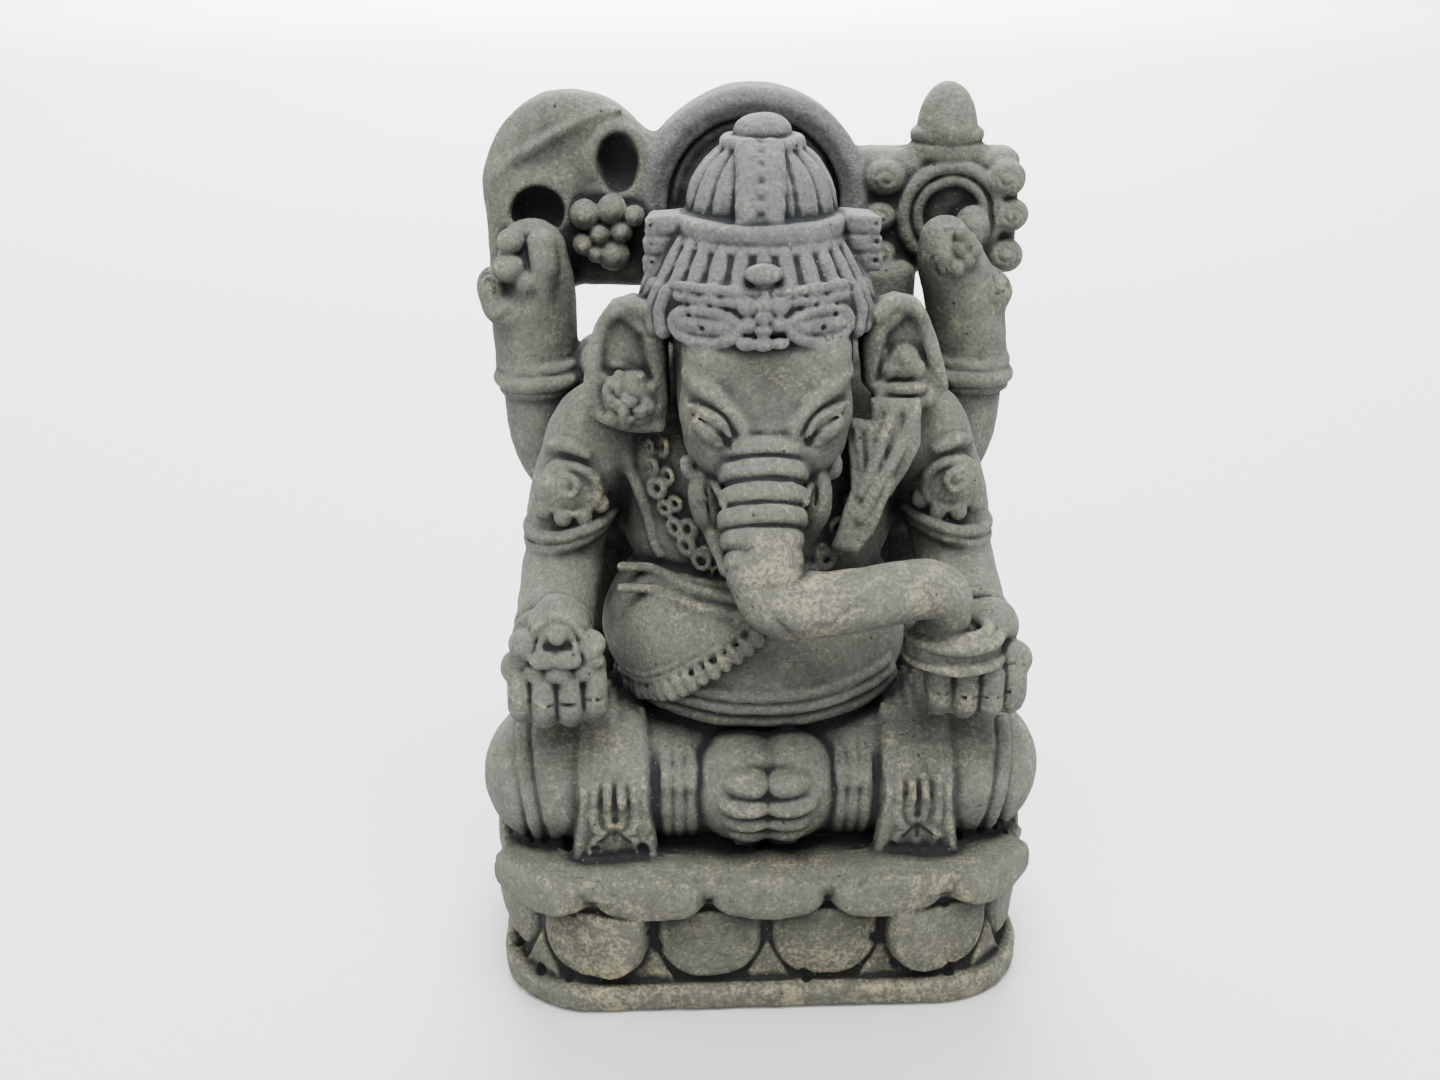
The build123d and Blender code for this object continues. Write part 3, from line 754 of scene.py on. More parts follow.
def headAndTrunk():
    o, root, bar = mid("head"), mid("trunk_root"), mid("trunk")

    def at(side, dx, dy, dz):
        return o + (side * dx, dy, dz)
    shape("head", [
        add(ball(o + (0, 4, 12), (39, 38, 36))),
        add(block(o + (0, -12, 8), (72, 52, 54), (5, 0, 0), 15), 8),
        add(block(o + (0, -14, -12), (68, 46, 42), (10, 0, 0), 15), 10),
        add(ball(o + (0, -18, -22), (30, 26, 20)), 10)], 3)
    for side in (-1, 1):
        carve("head", [cut(ball(at(side, 26.5, -44, -9), (10, 5.5, 7.5), (0, side * -42, 0)), 5),
                       cut(limb([at(side, 39.5, -22, 20), at(side, 39.5, -20, -18)], 1.8), 3)])

        def on(points, lift=0.0):
            return draped("head", [(side * x, o[2] + z) for x, z in points], lift)
        carve("head", [
            # brow, eyeball, lids and the tear below
            add(sweep(on([(11, -9), (18, -1), (26, 7), (34, 12)], -1.4), (2.0, 3.2, 3.2, 2.0)), 4),
            cut(sweep(on([(15, -11), (20, -4), (27, 1), (34, 2)], 1.6), (1.0, 1.8, 1.8, 1.2), 10), 3.5),
            add(ball(on([(25.0, -9.5)], -1.2)[0], (8.8, 5.2, 5.4), (0, side * -42, side * 10)), 0.8),
            add(sweep(on([(16.5, -12.5), (20, -6), (26, -2.4), (33.5, -0.5)], 0.6), (1.2, 1.8, 1.9, 1.2), 10),
                0.8),
            add(sweep(on([(18, -16), (23.5, -15.5), (30.5, -9.5)], 0.6), 1.3, 8), 0.8)])
        carve("head", [cut(sweep(on([(16.5, -14.6), (19.5, -12.5), (24.5, -9.0), (29.5, -4.6)], 0.2),
                                 (1.6, 1.3, 1.2, 0.8), 10), 0.5),
                       cut(ball(on([(17.5, -15.5)], 0.5)[0], (2.4, 3, 2.6)), 1.0)])
        carve("head", [cut(sweep(on([(18.5, -13.0), (21.5, -9.5), (26.5, -6.2), (32, -4.4)], 0.0),
                                 (0.9, 1.1, 1.1, 0.8), 10), 0.4)])
    # the root of the trunk is a stack of fleshy rings
    spine = curved([root + p for p in ((-1, 22, 24), (-1.5, 18, 13), (-2, 10.5, 1), (-3, 3.5, -10),
                                       (-3, -3, -20.5), (-3, -8, -30))], 13)
    girth = np.interp(np.linspace(0, 1, 13), (0, 0.25, 0.55, 0.8, 1), (16.0, 19.2, 19.6, 17.0, 14.8))
    strokes = [add(limb(spine, girth - 2.4))]
    for i in range(face["rings"]):
        t = (i + 0.9) / face["rings"] * 12
        place = np.array([np.interp(t, range(13), spine[:, k]) for k in range(3)])
        size = np.interp(t, range(13), girth)
        strokes.append(add(drum(place, (size, size), 8.2, (-33 + 1.0 * i, 0, 0), 2.8), 0.4))
    shape("trunk_root", strokes, 3)
    bend = [(-36, 4, 16), (-36, 2, 7), (-30, -2, 0), (-14, -3, -1), (4, -3, 1), (22, -1, 3.5), (35, 2, 3),
            (42, 5, -5), (42, 7, -15), (36, 8, -23)]
    shape("trunk", [add(sweep([bar + p for p in bend],
                              (15.4, 15.6, 15.6, 14.2, 13.6, 13.4, 12.8, 11.5, 10, 7.5), 26)),
                    add(drum(bar + (-35.5, 2, 11), (15.8, 15.8), 8, (-18, 0, 0), 3.2), 0.8),
                    add(drum(bar + (-34, 0, 3.5), (16.4, 16.2), 7, (-10, 12, 0), 3.0), 0.8)], 2.5)
    for line in (((-34, -1), (-26, -8), (-14, -6), (-4, 2), (6, 8)), ((-30, -8), (-20, -13), (-10, -12))):
        carve("trunk", [cut(sweep(draped("trunk", [(bar[0] + x, bar[2] + z) for x, z in line], 0.4), 1.1, 10),
                            1.8)])
    tusk, strokes = mid("tusks"), []
    for side in (-1, 1):
        # a flat tusk and the rolled lip over it
        line = [(24.5, 13.5), (24.8, 6), (23.2, -4), (19.5, -13), (16.0, -19.5)]
        places = draped(["head", "trunk_root"], [(side * x - 2.5, tusk[2] + z) for x, z in line], -1.2)
        places[:, 1] = np.minimum.accumulate(places[:, 1])
        strokes.append(add(sweep(places, (5.0, 6.8, 7.0, 5.6, 3.2), 14), 0.8))
        crease = places[:-1] + (side * -1.0, -5.6, 0)
        strokes.append(cut(sweep(crease, 0.6, 10), 0.8))
        line = [(32.5, 19.5), (31.5, 14.5), (27.5, 12.5), (21.5, 12), (17, 8)]
        lip = draped(["head", "trunk_root"], [(side * x - 2, tusk[2] + z) for x, z in line], 0.4)
        strokes.append(add(sweep(lip, (2.6, 3.0, 2.8, 2.6, 1.6), 12), 1.5))
    shape("tusks", strokes, 1.2)


def ears():
    recess = [(-9, 13), (0, 22), (11, 12), (16, -10), (4, -12), (-8, -4)]
    flaps = {
        "right": [(-72, 307), (-66, 318), (-57, 321), (-46, 318), (-42, 300), (-41, 275), (-43, 263),
                  (-52, 261),
                  (-63, 264), (-75, 269), (-78, 278), (-75, 292)],
        "left": [(46, 317), (57, 321), (67, 318), (73, 305), (77, 291), (80, 280), (75, 272), (66, 271),
                 (52, 271),
                 (44, 280), (42, 300)]}
    rims = {
        "right": (((-76, 274), (-74.5, 290), (-70.5, 306), (-64.5, 315), (-55, 318), (-47, 313)),
                  ((-75, 270), (-66, 266), (-56, 263.5), (-46, 264)), ((-64, 291), (-55, 288), (-48, 282))),
        "left": (((78, 282), (74.5, 293), (70.5, 305), (64.5, 315), (56, 318), (49, 313)),
                 ((79, 279), (73, 274), (65, 273)), ((52, 296), (53, 286), (50, 278)))}
    for side, name in sides:
        ear, node = mid(name + "_ear"), name + "_ear"
        outline = [(x - ear[0], z - ear[2]) for x, z in flaps[name]]
        hollow = [(side * x, z) for x, z in recess][::side]
        shape(node, [add(prism(outline, ear + (0, 1, 0), 16, (0, 0, side * 8), 4.5)),
                     cut(prism([(-x, z) for x, z in hollow], ear + (side * 2, -10, 2), 13, (0, 0, side * 8),
                               3), 3)], 2)
        detail = [add(sweep(draped(node, line, -1.2), size, 16), 1.5)
                  for line, size in zip(rims[name], (3.4, 2.8, 2.0))]
        carve(node, detail)
    rng = np.random.default_rng(5)
    knot = draped("right_ear", [(-60, 273)], 0)[0]
    strokes = [add(ball(knot + (2, 1, 4), (12.5, 4.5, 12)))]
    for i in range(26):
        a, r = rng.uniform(0, 2 * math.pi), 12 * math.sqrt(rng.uniform(0, 1))
        lump = knot + (2 + r * math.cos(a), -4.0 + r * r * 0.03, 4 + r * math.sin(a))
        strokes.append(add(ball(lump, rng.uniform(2.0, 3.8, 3)), 0.5))
    boss = draped("left_ear", [(61, 290)], 0)[0]
    strokes += [
        add(ball(boss + (0, 0, 1), (7.5, 5.5, 8.5))),
        add(ball(boss + (0, -4.5, 4), (3.4, 2.4, 3.6)), 1.2),
        add(ball(boss + (-6, 0, -2), (4.5, 4.5, 5)), 1.5), add(ball(boss + (6, 0, -2), (4.2, 4.5, 5)), 1.5),
        add(drum(boss + (1, 0, -10), (9.5, 6.5), 6, None, 2.8), 1.2),
        add(drum(boss + (0, 1, -16.5), (8.5, 6), 5, None, 2), 1.5)]
    shape("ear_bosses", strokes, 1.5)


# The crown and the halo behind it.
flatOn = (90, 0, 0)     # turns a drum or a ring to face the front
crown = {"domeRibs": (24, 46, 68, 92, 116, 140, 164), "straps": 7, "flareRibs": 26}


def crownPieces():
    base, dome, knob, clasp = mid("crown_base"), mid("crown_dome"), mid("crown_knob"), mid("crown_clasp")
    centre = dome + (0, 0, -12)
    strokes = [add(ball(centre, (33.5, 33.5, 33.5)))]
    for angle in crown["domeRibs"]:
        for side in (-1, 1):
            a = math.radians(side * angle - 90)
            out = np.array((math.cos(a), math.sin(a), 0))
            arc = [centre + 34.4 * (out * math.cos(b) + np.array((0, 0, math.sin(b))))
                   for b in np.linspace(-0.2, 1.12, 7)]
            strokes.append(cut(limb(arc, 2.0), 0.8))
    shape("crown_dome", strokes, 1.5, "crown_stone")
    shape("crown_knob", [
        add(drum(knob + (0, 0, -4.5), (18.5, 18.5), 7, None, 3.2)),
        add(ball(knob + (0, 0, 0.5), (12.5, 12.5, 7.5)), 1.5)], 1.2, "crown_stone")
    strokes = [
        add(drum(base + (-1, 0, 7), (36.5, 36.5), 9, None, 2.6)),
        add(drum(base + (-1.5, -1, -3), (37.5, 37.5), 14, None, 3), 1),
        add(drum(base + (-2, -2, -11), (42, 41), 12, None, 3), 4)]
    for i in range(22):
        a = 2 * math.pi * (i + 0.5) / 22
        nick = base + np.array((-1 + 37.8 * math.cos(a), 37.8 * math.sin(a), 5.5))
        strokes.append(cut(limb([nick - (0, 0, 3.4), nick + (0, 0, 3.4)], 0.8), 0.6))
    for i in range(crown["flareRibs"]):
        a = 2 * math.pi * (i + 0.5) / crown["flareRibs"]
        out = np.array((math.cos(a), math.sin(a), 0))
        rib = [base + out * 34 + (-2, 0, 0.5), base + out * 38.5 + (-2, -2, -7),
               base + out * 43 + (-2, -3, -16)]
        strokes.append(add(limb(rib, (4.2, 4.6, 5.0)), 0.4))
    shape("crown_base", strokes, 2, "crown_stone")
    path = [(-2, 7.5, 11.5), (-2, -0.5, 5), (-2.5, -6.5, -6), (-3, -10, -17), (-3, -13, -28)]
    strokes = [add(sweep([clasp + np.array(p) + (side * 5, 2.5, 0) for p in path], 5.5, 12), 3)
               for side in (-1, 1)]
    for place in curved([clasp + p for p in path], crown["straps"] + 1):
        strokes.append(add(limb([place + (-7.5, 1.2, 0), place + (0, 0.4, 0), place + (7.5, 1.2, 0)], 3.1),
                           0.8))
    shape("crown_clasp", strokes, 1.0, "crown_stone")
    strokes = []
    for side in (-1, 1):
        for lift, wide in ((8, 16), (0, 17), (-8, 18)):
            tier = mid("crown_wings", side * 42, 0, lift)
            strokes.append(add(block(tier, (wide, 22, 8.5), (0, side * 6, side * 8), 2.4), 0.8))
            strokes.append(cut(limb([tier + (side * 3, -14, 0.5), tier + (side * 9, -6, 0.5)], 0.8), 0.5))
    shape("crown_wings", strokes, 1.5, "crown_stone")


def diadem():
    o = mid("diadem")
    strokes = [
        add(drum(o + (-2, 2.5, -6), (47.5, 44.8), 22, (-7, 0, 0), 4.5)),
        add(drum(o + (-1.5, 2, -19), (40, 41.5), 8, (4, 0, 0), 2), 1.5)]

    def on(angle, lift, out=0.0):
        # a place on the band, angle from the front in degrees
        a = math.radians(angle)
        lean = 1 - 0.004 * lift
        return o + np.array((math.sin(a) * (47 + out) * lean - 2.5,
                             2.5 - math.cos(a) * (44.2 + out) * lean - 0.10 * lift, lift))

    for side in (-1, 1):
        loop = [on(side * (31 + 19 * math.cos(t)), -7.5 + 6.8 * math.sin(t), 0.2)
                for t in np.linspace(0, 2 * math.pi, 17)]
        strokes.append(add(limb(loop, 2.6), 1.0))
        strokes.append(add(limb([on(side * (31 + k), -7.5, -2.6) for k in (-13, -5, 5, 13)], 5.4), 1.0))
        strokes.append(add(limb([on(side * (31 + k), -6.0, -0.2) for k in (-11, 0, 11)], 1.9), 0.8))
        strokes.append(add(limb([on(side * (31 + k), -10.2, -0.2) for k in (-9, 0, 9)], 1.7), 0.8))
        for lift, size in ((3.2, 2.2), (7.8, 2.0)):
            strokes.append(add(limb([on(side * (13 + 6 * k), lift, 0.2) for k in range(7)], size), 0.6))
        for angle, lift in ((18, 0.6), (27, 1.6), (40, 0.8), (22, 5.6), (34, 5.4), (45, 5.2), (30, -8.2),
                            (38, -3.4)):
            strokes.append(cut(ball(on(side * angle, lift, 2.4), (1.4, 2.2, 1.2)), 0.4))
        for angle in (59, 68, 78, 89, 100, 112, 126, 142, 160):
            strokes.append(add(limb([on(side * angle, 3, -0.5), on(side * (angle + 1), -5, 0.8),
                                     on(side * (angle - 2), -13, -0.6)], 3.6), 0.8))
        strokes.append(add(ball(on(side * 8, 1.5, 0.4), (4.2, 2.6, 4.0)), 0.8))
        strokes.append(add(ball(on(side * 7.5, -5.5, 0.4), (3.8, 2.6, 3.6)), 0.8))
        strokes.append(add(ball(on(side * 8, -13.5, 0.2), (4.4, 2.6, 2.8)), 0.8))
    for lift, size in ((2.5, 3.6), (-2.5, 3.4), (-8.0, 3.2), (-13.5, 3.6)):
        strokes.append(add(ball(on(0, lift, 0.8), (size * 1.15, 2.8, size * 0.9)), 0.8))
    strokes.append(add(ball(on(0, 14.5, -2.5), (8.2, 4.5, 4.6), (0, 0, 0)), 1.5))
    for i in range(24):
        a = -92 + 8 * i
        low = on(a, -19, -3.4)
        strokes.append(cut(limb([low + (0, 0, 3.5), low - (0, 0, 4)], 0.9), 0.5))
    shape("diadem", strokes, 1.5, "crown_stone")


def halo():
    o = mid("halo_disc") + (0, 0, -12.7)
    shape("halo_disc", [
        add(drum(o + (0, 1, 0), (54.5, 54.5), 25, flatOn, 7)),
        cut(drum(o + (0, -13, 0), (42.5, 42.5), 12, flatOn, 2), 2),
        add(ring(o + (0, -7, 0), 37.5, 1.6, flatOn), 2)], 3, "crown_stone")
    shape("halo_rim", [
        add(ring(o + (0, -10, 0), 48.6, 6.0, flatOn)),
        add(ring(o + (0, -11.5, 0), 43.2, 2.4, flatOn), 2)], 2, "crown_stone")


headAndTrunk()
ears()
print("carving the crown")
crownPieces()
diadem()
halo()

# The rear arms, with a broad axe and a rosette emblem.
print("carving the rear arms")


def rearArms():
    for side, name in sides:
        def at(dx, dy, dz):
            return mid(name + "_rear_arm", side * dx, dy, dz)
        shape(name + "_rear_arm", [
            add(sweep([at(-15, -6, -28), at(4, 1, -14), at(13, 4, 0), at(17, 4, 18), at(18.5, 4, 34)],
                      (23, 22.5, 21.5, 20, 19.5), 12))], 5)
    band, strokes = mid("rear_bracelets"), []
    for side, shift in ((-1, 0), (1, 1)):
        for lift, radius, thick in ((3.6, 17.8, 3.4), (-2.6, 19.4, 4.2), (-8, 19.2, 2.0)):
            place = band + (side * (101 + shift), 0, lift)
            strokes.append(add(ring(place, radius, thick, (0, side * 4, 0)), 1))
    shape("rear_bracelets", strokes, 1.2)


def rearHands():
    hand = mid("right_rear_hand")
    shape("right_rear_hand", [
        add(sweep([hand + (1, 0, -30), hand + (1, 0, -10), hand + (1, 0, 8), hand + (1, 2, 24)],
                  (18.5, 20, 19.5, 16))),
        add(ball(hand + (-17, -12, 10), (7, 8, 10)), 3), add(ball(hand + (-12, -14, 1), (9, 7, 7)), 4),
        cut(sweep([hand + (-24, -16, -4), hand + (-12, -21, -2), hand + (-2, -22, 8)], 1.3), 2)], 3)
    hand = mid("left_rear_hand")
    shape("left_rear_hand", [
        add(sweep([hand + (-2, 0, -30), hand + (-4, -3, -10), hand + (-8, -5, 6), hand + (-14, -8, 20),
                   hand + (-17, -8, 30)],
                  (18.5, 18.5, 17.5, 15.5, 12), 12)),
        add(ball(hand + (5, -8, 6), (11, 10, 10)), 5),
        cut(sweep([hand + (-4, -24, 22), hand + (2, -22, 8), hand + (10, -18, -6)], 1.3), 2)], 3)
    o = mid("rear_fingers") + (9.5, 0, 0)
    strokes = []
    for x, y, z, wide, deep, tall in ((-112, -7, 14.5, 6.5, 7, 6), (-113, -9, 3, 8, 8, 7),
                                      (-122, -6, -6, 6.5, 8, 9),
                                      (-105, -9, -3, 6.5, 7, 7), (109, -5, -9, 9, 8, 8)):
        strokes.append(add(ball(o + (x, y, z), (wide, deep, tall)), 1.5))
    strokes += [
        add(sweep([o + (-98, -8, 14), o + (-97.5, -10, 2), o + (-99, -8, -16)], (7.2, 6.6, 6)), 2),
        add(ball(o + (88, -9, 6), (9, 9, 14)), 6)]
    for x, z in ((92, 14), (96, 9), (91, 5), (96, 17), (92, 21), (99, 13)):
        strokes.append(add(ball(o + (x, -17, z - 2), (3.4, 3.6, 4.0)), 1.2))
    shape("rear_fingers", strokes, 2)


def axe():
    o = mid("axe_blade")
    eyes = ((-16, -8, 12, 11.5), (22, 14, 9.5, 13.5))
    strokes = [
        add(drum(o + (0, 0, 5), (40.5, 41), 26, flatOn, 9)),
        add(block(o + (-17, 0, -16), (47, 26, 60), None, 9), 6),
        add(block(o + (24, 1, -10), (44, 24, 70), None, 8), 6)]
    for x, z, wide, tall in eyes:
        hole = o + (x, -12, z)
        lid = [hole + ((wide + 2.6) * math.cos(t), 0.8, (tall + 2.6) * math.sin(t))
               for t in np.linspace(-0.3, 3.44, 15)]
        strokes.append(add(limb(lid, 2.6), 2.5))
        strokes.append(cut(ball(hole + (0, -2, 0), (wide * 1.05, 11, tall * 1.05)), 1.5))
    crest = [(-36, -12.6, 8), (-24, -13, 18), (-6, -13, 28), (12, -12, 36), (24, -10.5, 38)]
    strokes.append(add(sweep([o + p for p in crest], (0.8, 1.2, 1.2, 1.0, 0.6)), 4))
    shape("axe_blade", strokes, 4)
    buds, rose = [], mid("axe_socket")
    for x, z, size in ((-9, 10, 7.2), (3.5, 12, 7), (-2, 1, 5), (8, 2, 5.4), (-10, -4, 5), (4, -9, 7.5),
                       (14, 9, 5), (-4, -8, 4.5)):
        centre = rose + (x, 0.5, z)
        buds.append(add(ball(centre, (size, 5.5, size)), 1))
        buds.append(add(ball(centre + (0, -5, 0), (size * 0.45, 1.6, size * 0.45)), 0.8))
    shape("axe_socket", buds, 2)


def emblem():
    disc = mid("emblem_disc")
    ringMid = mid("emblem_ring") + (-1, 1, 0)
    shape("emblem_disc", [
        add(drum(disc + (6, 0, 0), (30, 30), 25, flatOn, 6)),
        add(block(disc + (-22, 0, -4), (36, 24, 60), None, 7), 5),
        add(block(disc + (28, 0, 0), (26, 22, 52), None, 7), 5)], 4)
    shape("emblem_ring", [
        add(ring(ringMid + (0, 0, -5), 22.5, 3.4, flatOn)),
        add(ring(ringMid + (0, 0, -5), 16, 2.8, flatOn), 1),
        add(ball(ringMid + (10, -2, -12), (9, 6, 12)), 2),
        add(ball(ringMid + (10, -6, -13), (5, 4, 8)), 1.5)], 2)
    tip = mid("emblem_finial") + (0, 2, 0)
    shape("emblem_finial", [
        add(drum(tip + (0, 0, -13.5), (18.5, 13), 8, None, 3)),
        add(drum(tip + (0, 0, -6.5), (17.5, 13), 7, None, 3), 0.8),
        add(sweep([tip + (0, 0, -3), tip + (0, 0, 4), tip + (-0.5, 0, 9), tip + (-1, 0, 12.5)],
                  (14.5, 12.5, 8.5, 4.5)), 1.0)], 2.5)
    strokes, o = [], mid("emblem_lobes")
    column = ((26, 12, 10), (29, -5, 9.5), (27.5, -24, 9.5), (-31, 13, 9.5), (-33, -5, 8), (-32, -23, 8))
    for x, z, size in column:
        centre, out = o + (x, 0, z), math.copysign(1, x)
        strokes.append(add(ball(centre, (size, 7.5, size * 0.88)), 1.5))
        swirl = [centre + (out * 0.62 * size * (1 - 0.07 * k) * math.cos(0.62 * k - 0.6), -6.3 - 0.12 * k,
                           0.55 * size * (1 - 0.07 * k) * math.sin(0.62 * k - 0.6)) for k in range(11)]
        strokes.append(cut(limb(swirl, 1.1), 0.8))
    shape("emblem_lobes", strokes, 2.5)


rearArms()
rearHands()
axe()
emblem()

# The front arms, with a sweet cake and a bowl.
print("carving the front arms")


def frontArms():
    rings, floral, armMid = [], [], mid("armlets")
    for side, name in sides:
        def at(dx, dy, dz):
            return mid(name + "_arm", side * dx, dy, dz)
        shape(name + "_arm", [
            add(sweep([at(-8, 6, 30), at(2, 1, 14), at(9, -1, -4), at(12, -6, -22), at(14, -10, -36)],
                      (24, 22, 20.5, 18.5, 18), 12)),
            add(ball(at(-4, 0, 26), (23, 22, 24)), 5)], 5)

        def fore(dx, dy, dz):
            return mid(name + "_forearm", side * dx, dy, dz)
        shape(name + "_forearm", [
            add(sweep([fore(0, 22, 12), fore(2, 8, 2), fore(3, -10, -4), fore(3, -24, -9)],
                      (18, 18, 16.5, 15), 10))], 4)

        def on(points, lift=0.0):
            return draped(name + "_arm", [(side * x, z) for x, z in points], lift)
        floral += [
            add(ring(armMid + (side * 87.5, 0, -14), 20.3, 3.0, (6, side * 14, 0)), 1.5),
            add(ring(armMid + (side * 89, -1, -19.5), 19.6, 2.0, (6, side * 14, 0)), 1),
            add(ball(on([(86, 231)], -3.5)[0], (16, 8, 15)), 3)]
        oval = [(86 + 12.5 * math.cos(t), 232 + 11.5 * math.sin(t)) for t in np.linspace(0, 2 * math.pi, 15)]
        floral.append(add(limb(on(oval, 2.0), 1.9), 1.2))
        swirl = [(88 + 6.5 * (1 - t / 9) * math.cos(1.4 * t), 234 + 6 * (1 - t / 9) * math.sin(1.4 * t))
                 for t in np.linspace(0, 5.6, 14)]
        floral.append(add(limb(on(swirl, 4.4), 1.6), 1.0))
        for x, z in ((98, 222), (90, 219), (81, 219.5), (73, 224)):
            floral.append(add(ball(on([(x, z)], 1.5)[0], (4.2, 3, 4.6)), 1.2))
        floral.append(add(sweep(on([(96, 249), (88, 252), (78, 249)], 0.6), (2.2, 3.2, 2.2)), 1.5))
    shape("armlets", floral, 1.8)
    band, strokes = mid("bangles"), []
    for side in (-1, 1):
        for slide, radius, thick in ((0, 15.5, 3.0), (7, 16.0, 2.2)):
            strokes.append(add(ring(band + (side * 95, slide, slide * 0.45), radius, thick, (-67, 0, 0)), 1))
    shape("bangles", strokes, 1.5)


def frontHands():
    strokes, o = [], mid("front_fingers")
    for side, name in sides:
        def at(dx, dy, dz):
            return mid(name + "_hand", side * dx, dy, dz)
        shape(name + "_hand", [
            add(ball(at(0, 0, 0), (21.5, 16, 16))),
            add(ball(at(17, -6, 11), (8, 9, 8)), 3),
            add(block(at(0, -5, -4), (40, 20, 20), None, 7), 4)], 3)
        for x, drop in ((-16.5, 1.5), (-5.6, 0), (5.2, -0.5), (15.6, 1.5)):
            tip = o + (side * (92.5 + x), 1.5 + 0.012 * x * x, drop * 0.6)
            strokes.append(add(sweep([tip + (0, 7, 12), tip + (0, -1, 11), tip + (0, -3, 3),
                                      tip + (0, -2.6, -4),
                                      tip + (0, 1, -9)], (5.2, 5.6, 5.7, 5.7, 4.8), 8), 0.6))
            strokes.append(add(ball(tip + (0, -4.2, 10), (4.6, 3.0, 3.4)), 1))
            strokes.append(cut(limb([tip + (-5, -7.4, 1), tip + (5, -7.4, 1)], 0.8), 0.8))
    shape("front_fingers", strokes, 1.5)


def offerings():
    cake = mid("sweet_cake")
    shape("sweet_cake", [
        add(drum(cake + (0, 0, -8), (19, 15), 11, None, 4)),
        add(ball(cake + (0, -1, 2), (13.5, 12, 13)), 2),
        add(ball(cake + (0, -1, 10), (7.5, 7, 7)), 3),
        add(ball(cake + (-15, -7, -3), (6.5, 7, 6.5)), 1.5),
        add(ball(cake + (13.5, -7, -4), (7, 7, 6.5)), 1.5)], 1.5)
    detail = []
    arch = [(-13, -5), (-11, 3), (-6, 10), (0, 13), (6, 10), (11, 3), (13, -5)]
    for shrink, size in ((1.0, 2.0), (0.62, 1.6)):
        line = draped("sweet_cake", [(cake[0] + shrink * x, cake[2] + shrink * z - 2) for x, z in arch], -0.3)
        detail.append(add(sweep(line, size, 18), 0.8))
    detail.append(add(ball(draped("sweet_cake", [(cake[0], cake[2] + 2)], 0.5)[0], (3.6, 2.8, 3.4)), 0.8))
    for x, z, wide in ((-15, -10, 5.5), (-6, -8, 6.5), (4, -8, 6.5), (14, -10, 5.5), (-10, -15, 5),
                       (0, -15, 6), (10, -15, 5)):
        leaf = draped("sweet_cake", [(cake[0] + x, cake[2] + max(z, -12))], -0.6)[0] + (0, 0, min(z + 12, 0))
        detail.append(add(ball(leaf, (wide, 3.4, 4.4)), 1.0))
    carve("sweet_cake", detail)
    cup = mid("bowl")
    shape("bowl", [
        add(drum(cup + (0, 0, -1), (21, 20), 9, None, 3.5)),
        add(ring(cup + (0, 0, 3.5), 19.5, 2.8, (-4, 0, 0)), 1),
        add(ring(cup + (0, -1, 6.5), 14.5, 3.2, (-4, 0, 0)), 1),
        add(ball(cup + (-4, -2, 5), (13, 12, 5)), 2),
        add(ring(cup + (0, -1, -6), 20.5, 2.2, (-4, 0, 0)), 1),
        add(ball(cup + (19, 10, 3), (12, 13, 12)), 3)], 1.5)


frontArms()
frontHands()
offerings()


# Weathering of the whole block.
print("weathering the stone")
weather = {"chips": 130, "chipSize": (1.6, 4.2), "chipsBelow": 90.0,
           "tries": 60000, "edgeDepth": 3, "edgeThin": 1.9}


def spreadOver(lattice, size):
    # a coarse lattice of values smoothed over the whole grid
    for k in range(3):
        place = np.arange(gridShape[k]) * voxel / size
        weights = np.zeros((gridShape[k], lattice.shape[k]), np.float32)
        for row, p in enumerate(place):
            i, f = int(p), p - int(p)
            weights[row, i:i + 4] = ((1 - f) ** 3 / 6, (3 * f ** 3 - 6 * f * f + 4) / 6,
                                     (-3 * f ** 3 + 3 * f * f + 3 * f + 1) / 6, f ** 3 / 6)
        lattice = np.moveaxis(np.tensordot(weights, lattice, (1, k)), 0, k)
    return np.ascontiguousarray(lattice)


def sample(array, points):
    # values of a grid array at places in millimetres
    p = (points - gridLow.astype(np.float32)) / np.float32(voxel)
    i = np.clip(p.astype(np.int32), 0, np.array(gridShape) - 2)
    f = (p - i).astype(np.float32)
    out = np.zeros(len(p), np.float32)
    for dx in (0, 1):
        for dy in (0, 1):
            for dz in (0, 1):
                w = ((f[:, 0] if dx else 1 - f[:, 0]) * (f[:, 1] if dy else 1 - f[:, 1])
                     * (f[:, 2] if dz else 1 - f[:, 2]))
                out += w * array[i[:, 0] + dx, i[:, 1] + dy, i[:, 2] + dz]
    return out


def slopeAt(points):
    step = 0.7 * voxel
    slope = np.empty((len(points), 3), np.float32)
    for k in range(3):
        off = np.zeros(3, np.float32)
        off[k] = step
        slope[:, k] = sample(stone, points + off) - sample(stone, points - off)
    return slope / np.maximum(np.linalg.norm(slope, axis=1), 1e-5)[:, None]


def averaged(array, half):
    # mean over a cube of 2 * half + 1 cells
    for k in range(3):
        total = np.cumsum(array, axis=k, dtype=np.float32)
        n = array.shape[k]
        high = np.minimum(np.arange(n) + half, n - 1)
        low = np.arange(n) - half - 1
        below = np.take(total, np.maximum(low, 0), axis=k)
        mask = [None, None, None]
        mask[k] = slice(None)
        below *= (low >= 0).astype(np.float32)[tuple(mask)]
        array = (np.take(total, high, axis=k) - below) / (2 * half + 1)
    return array


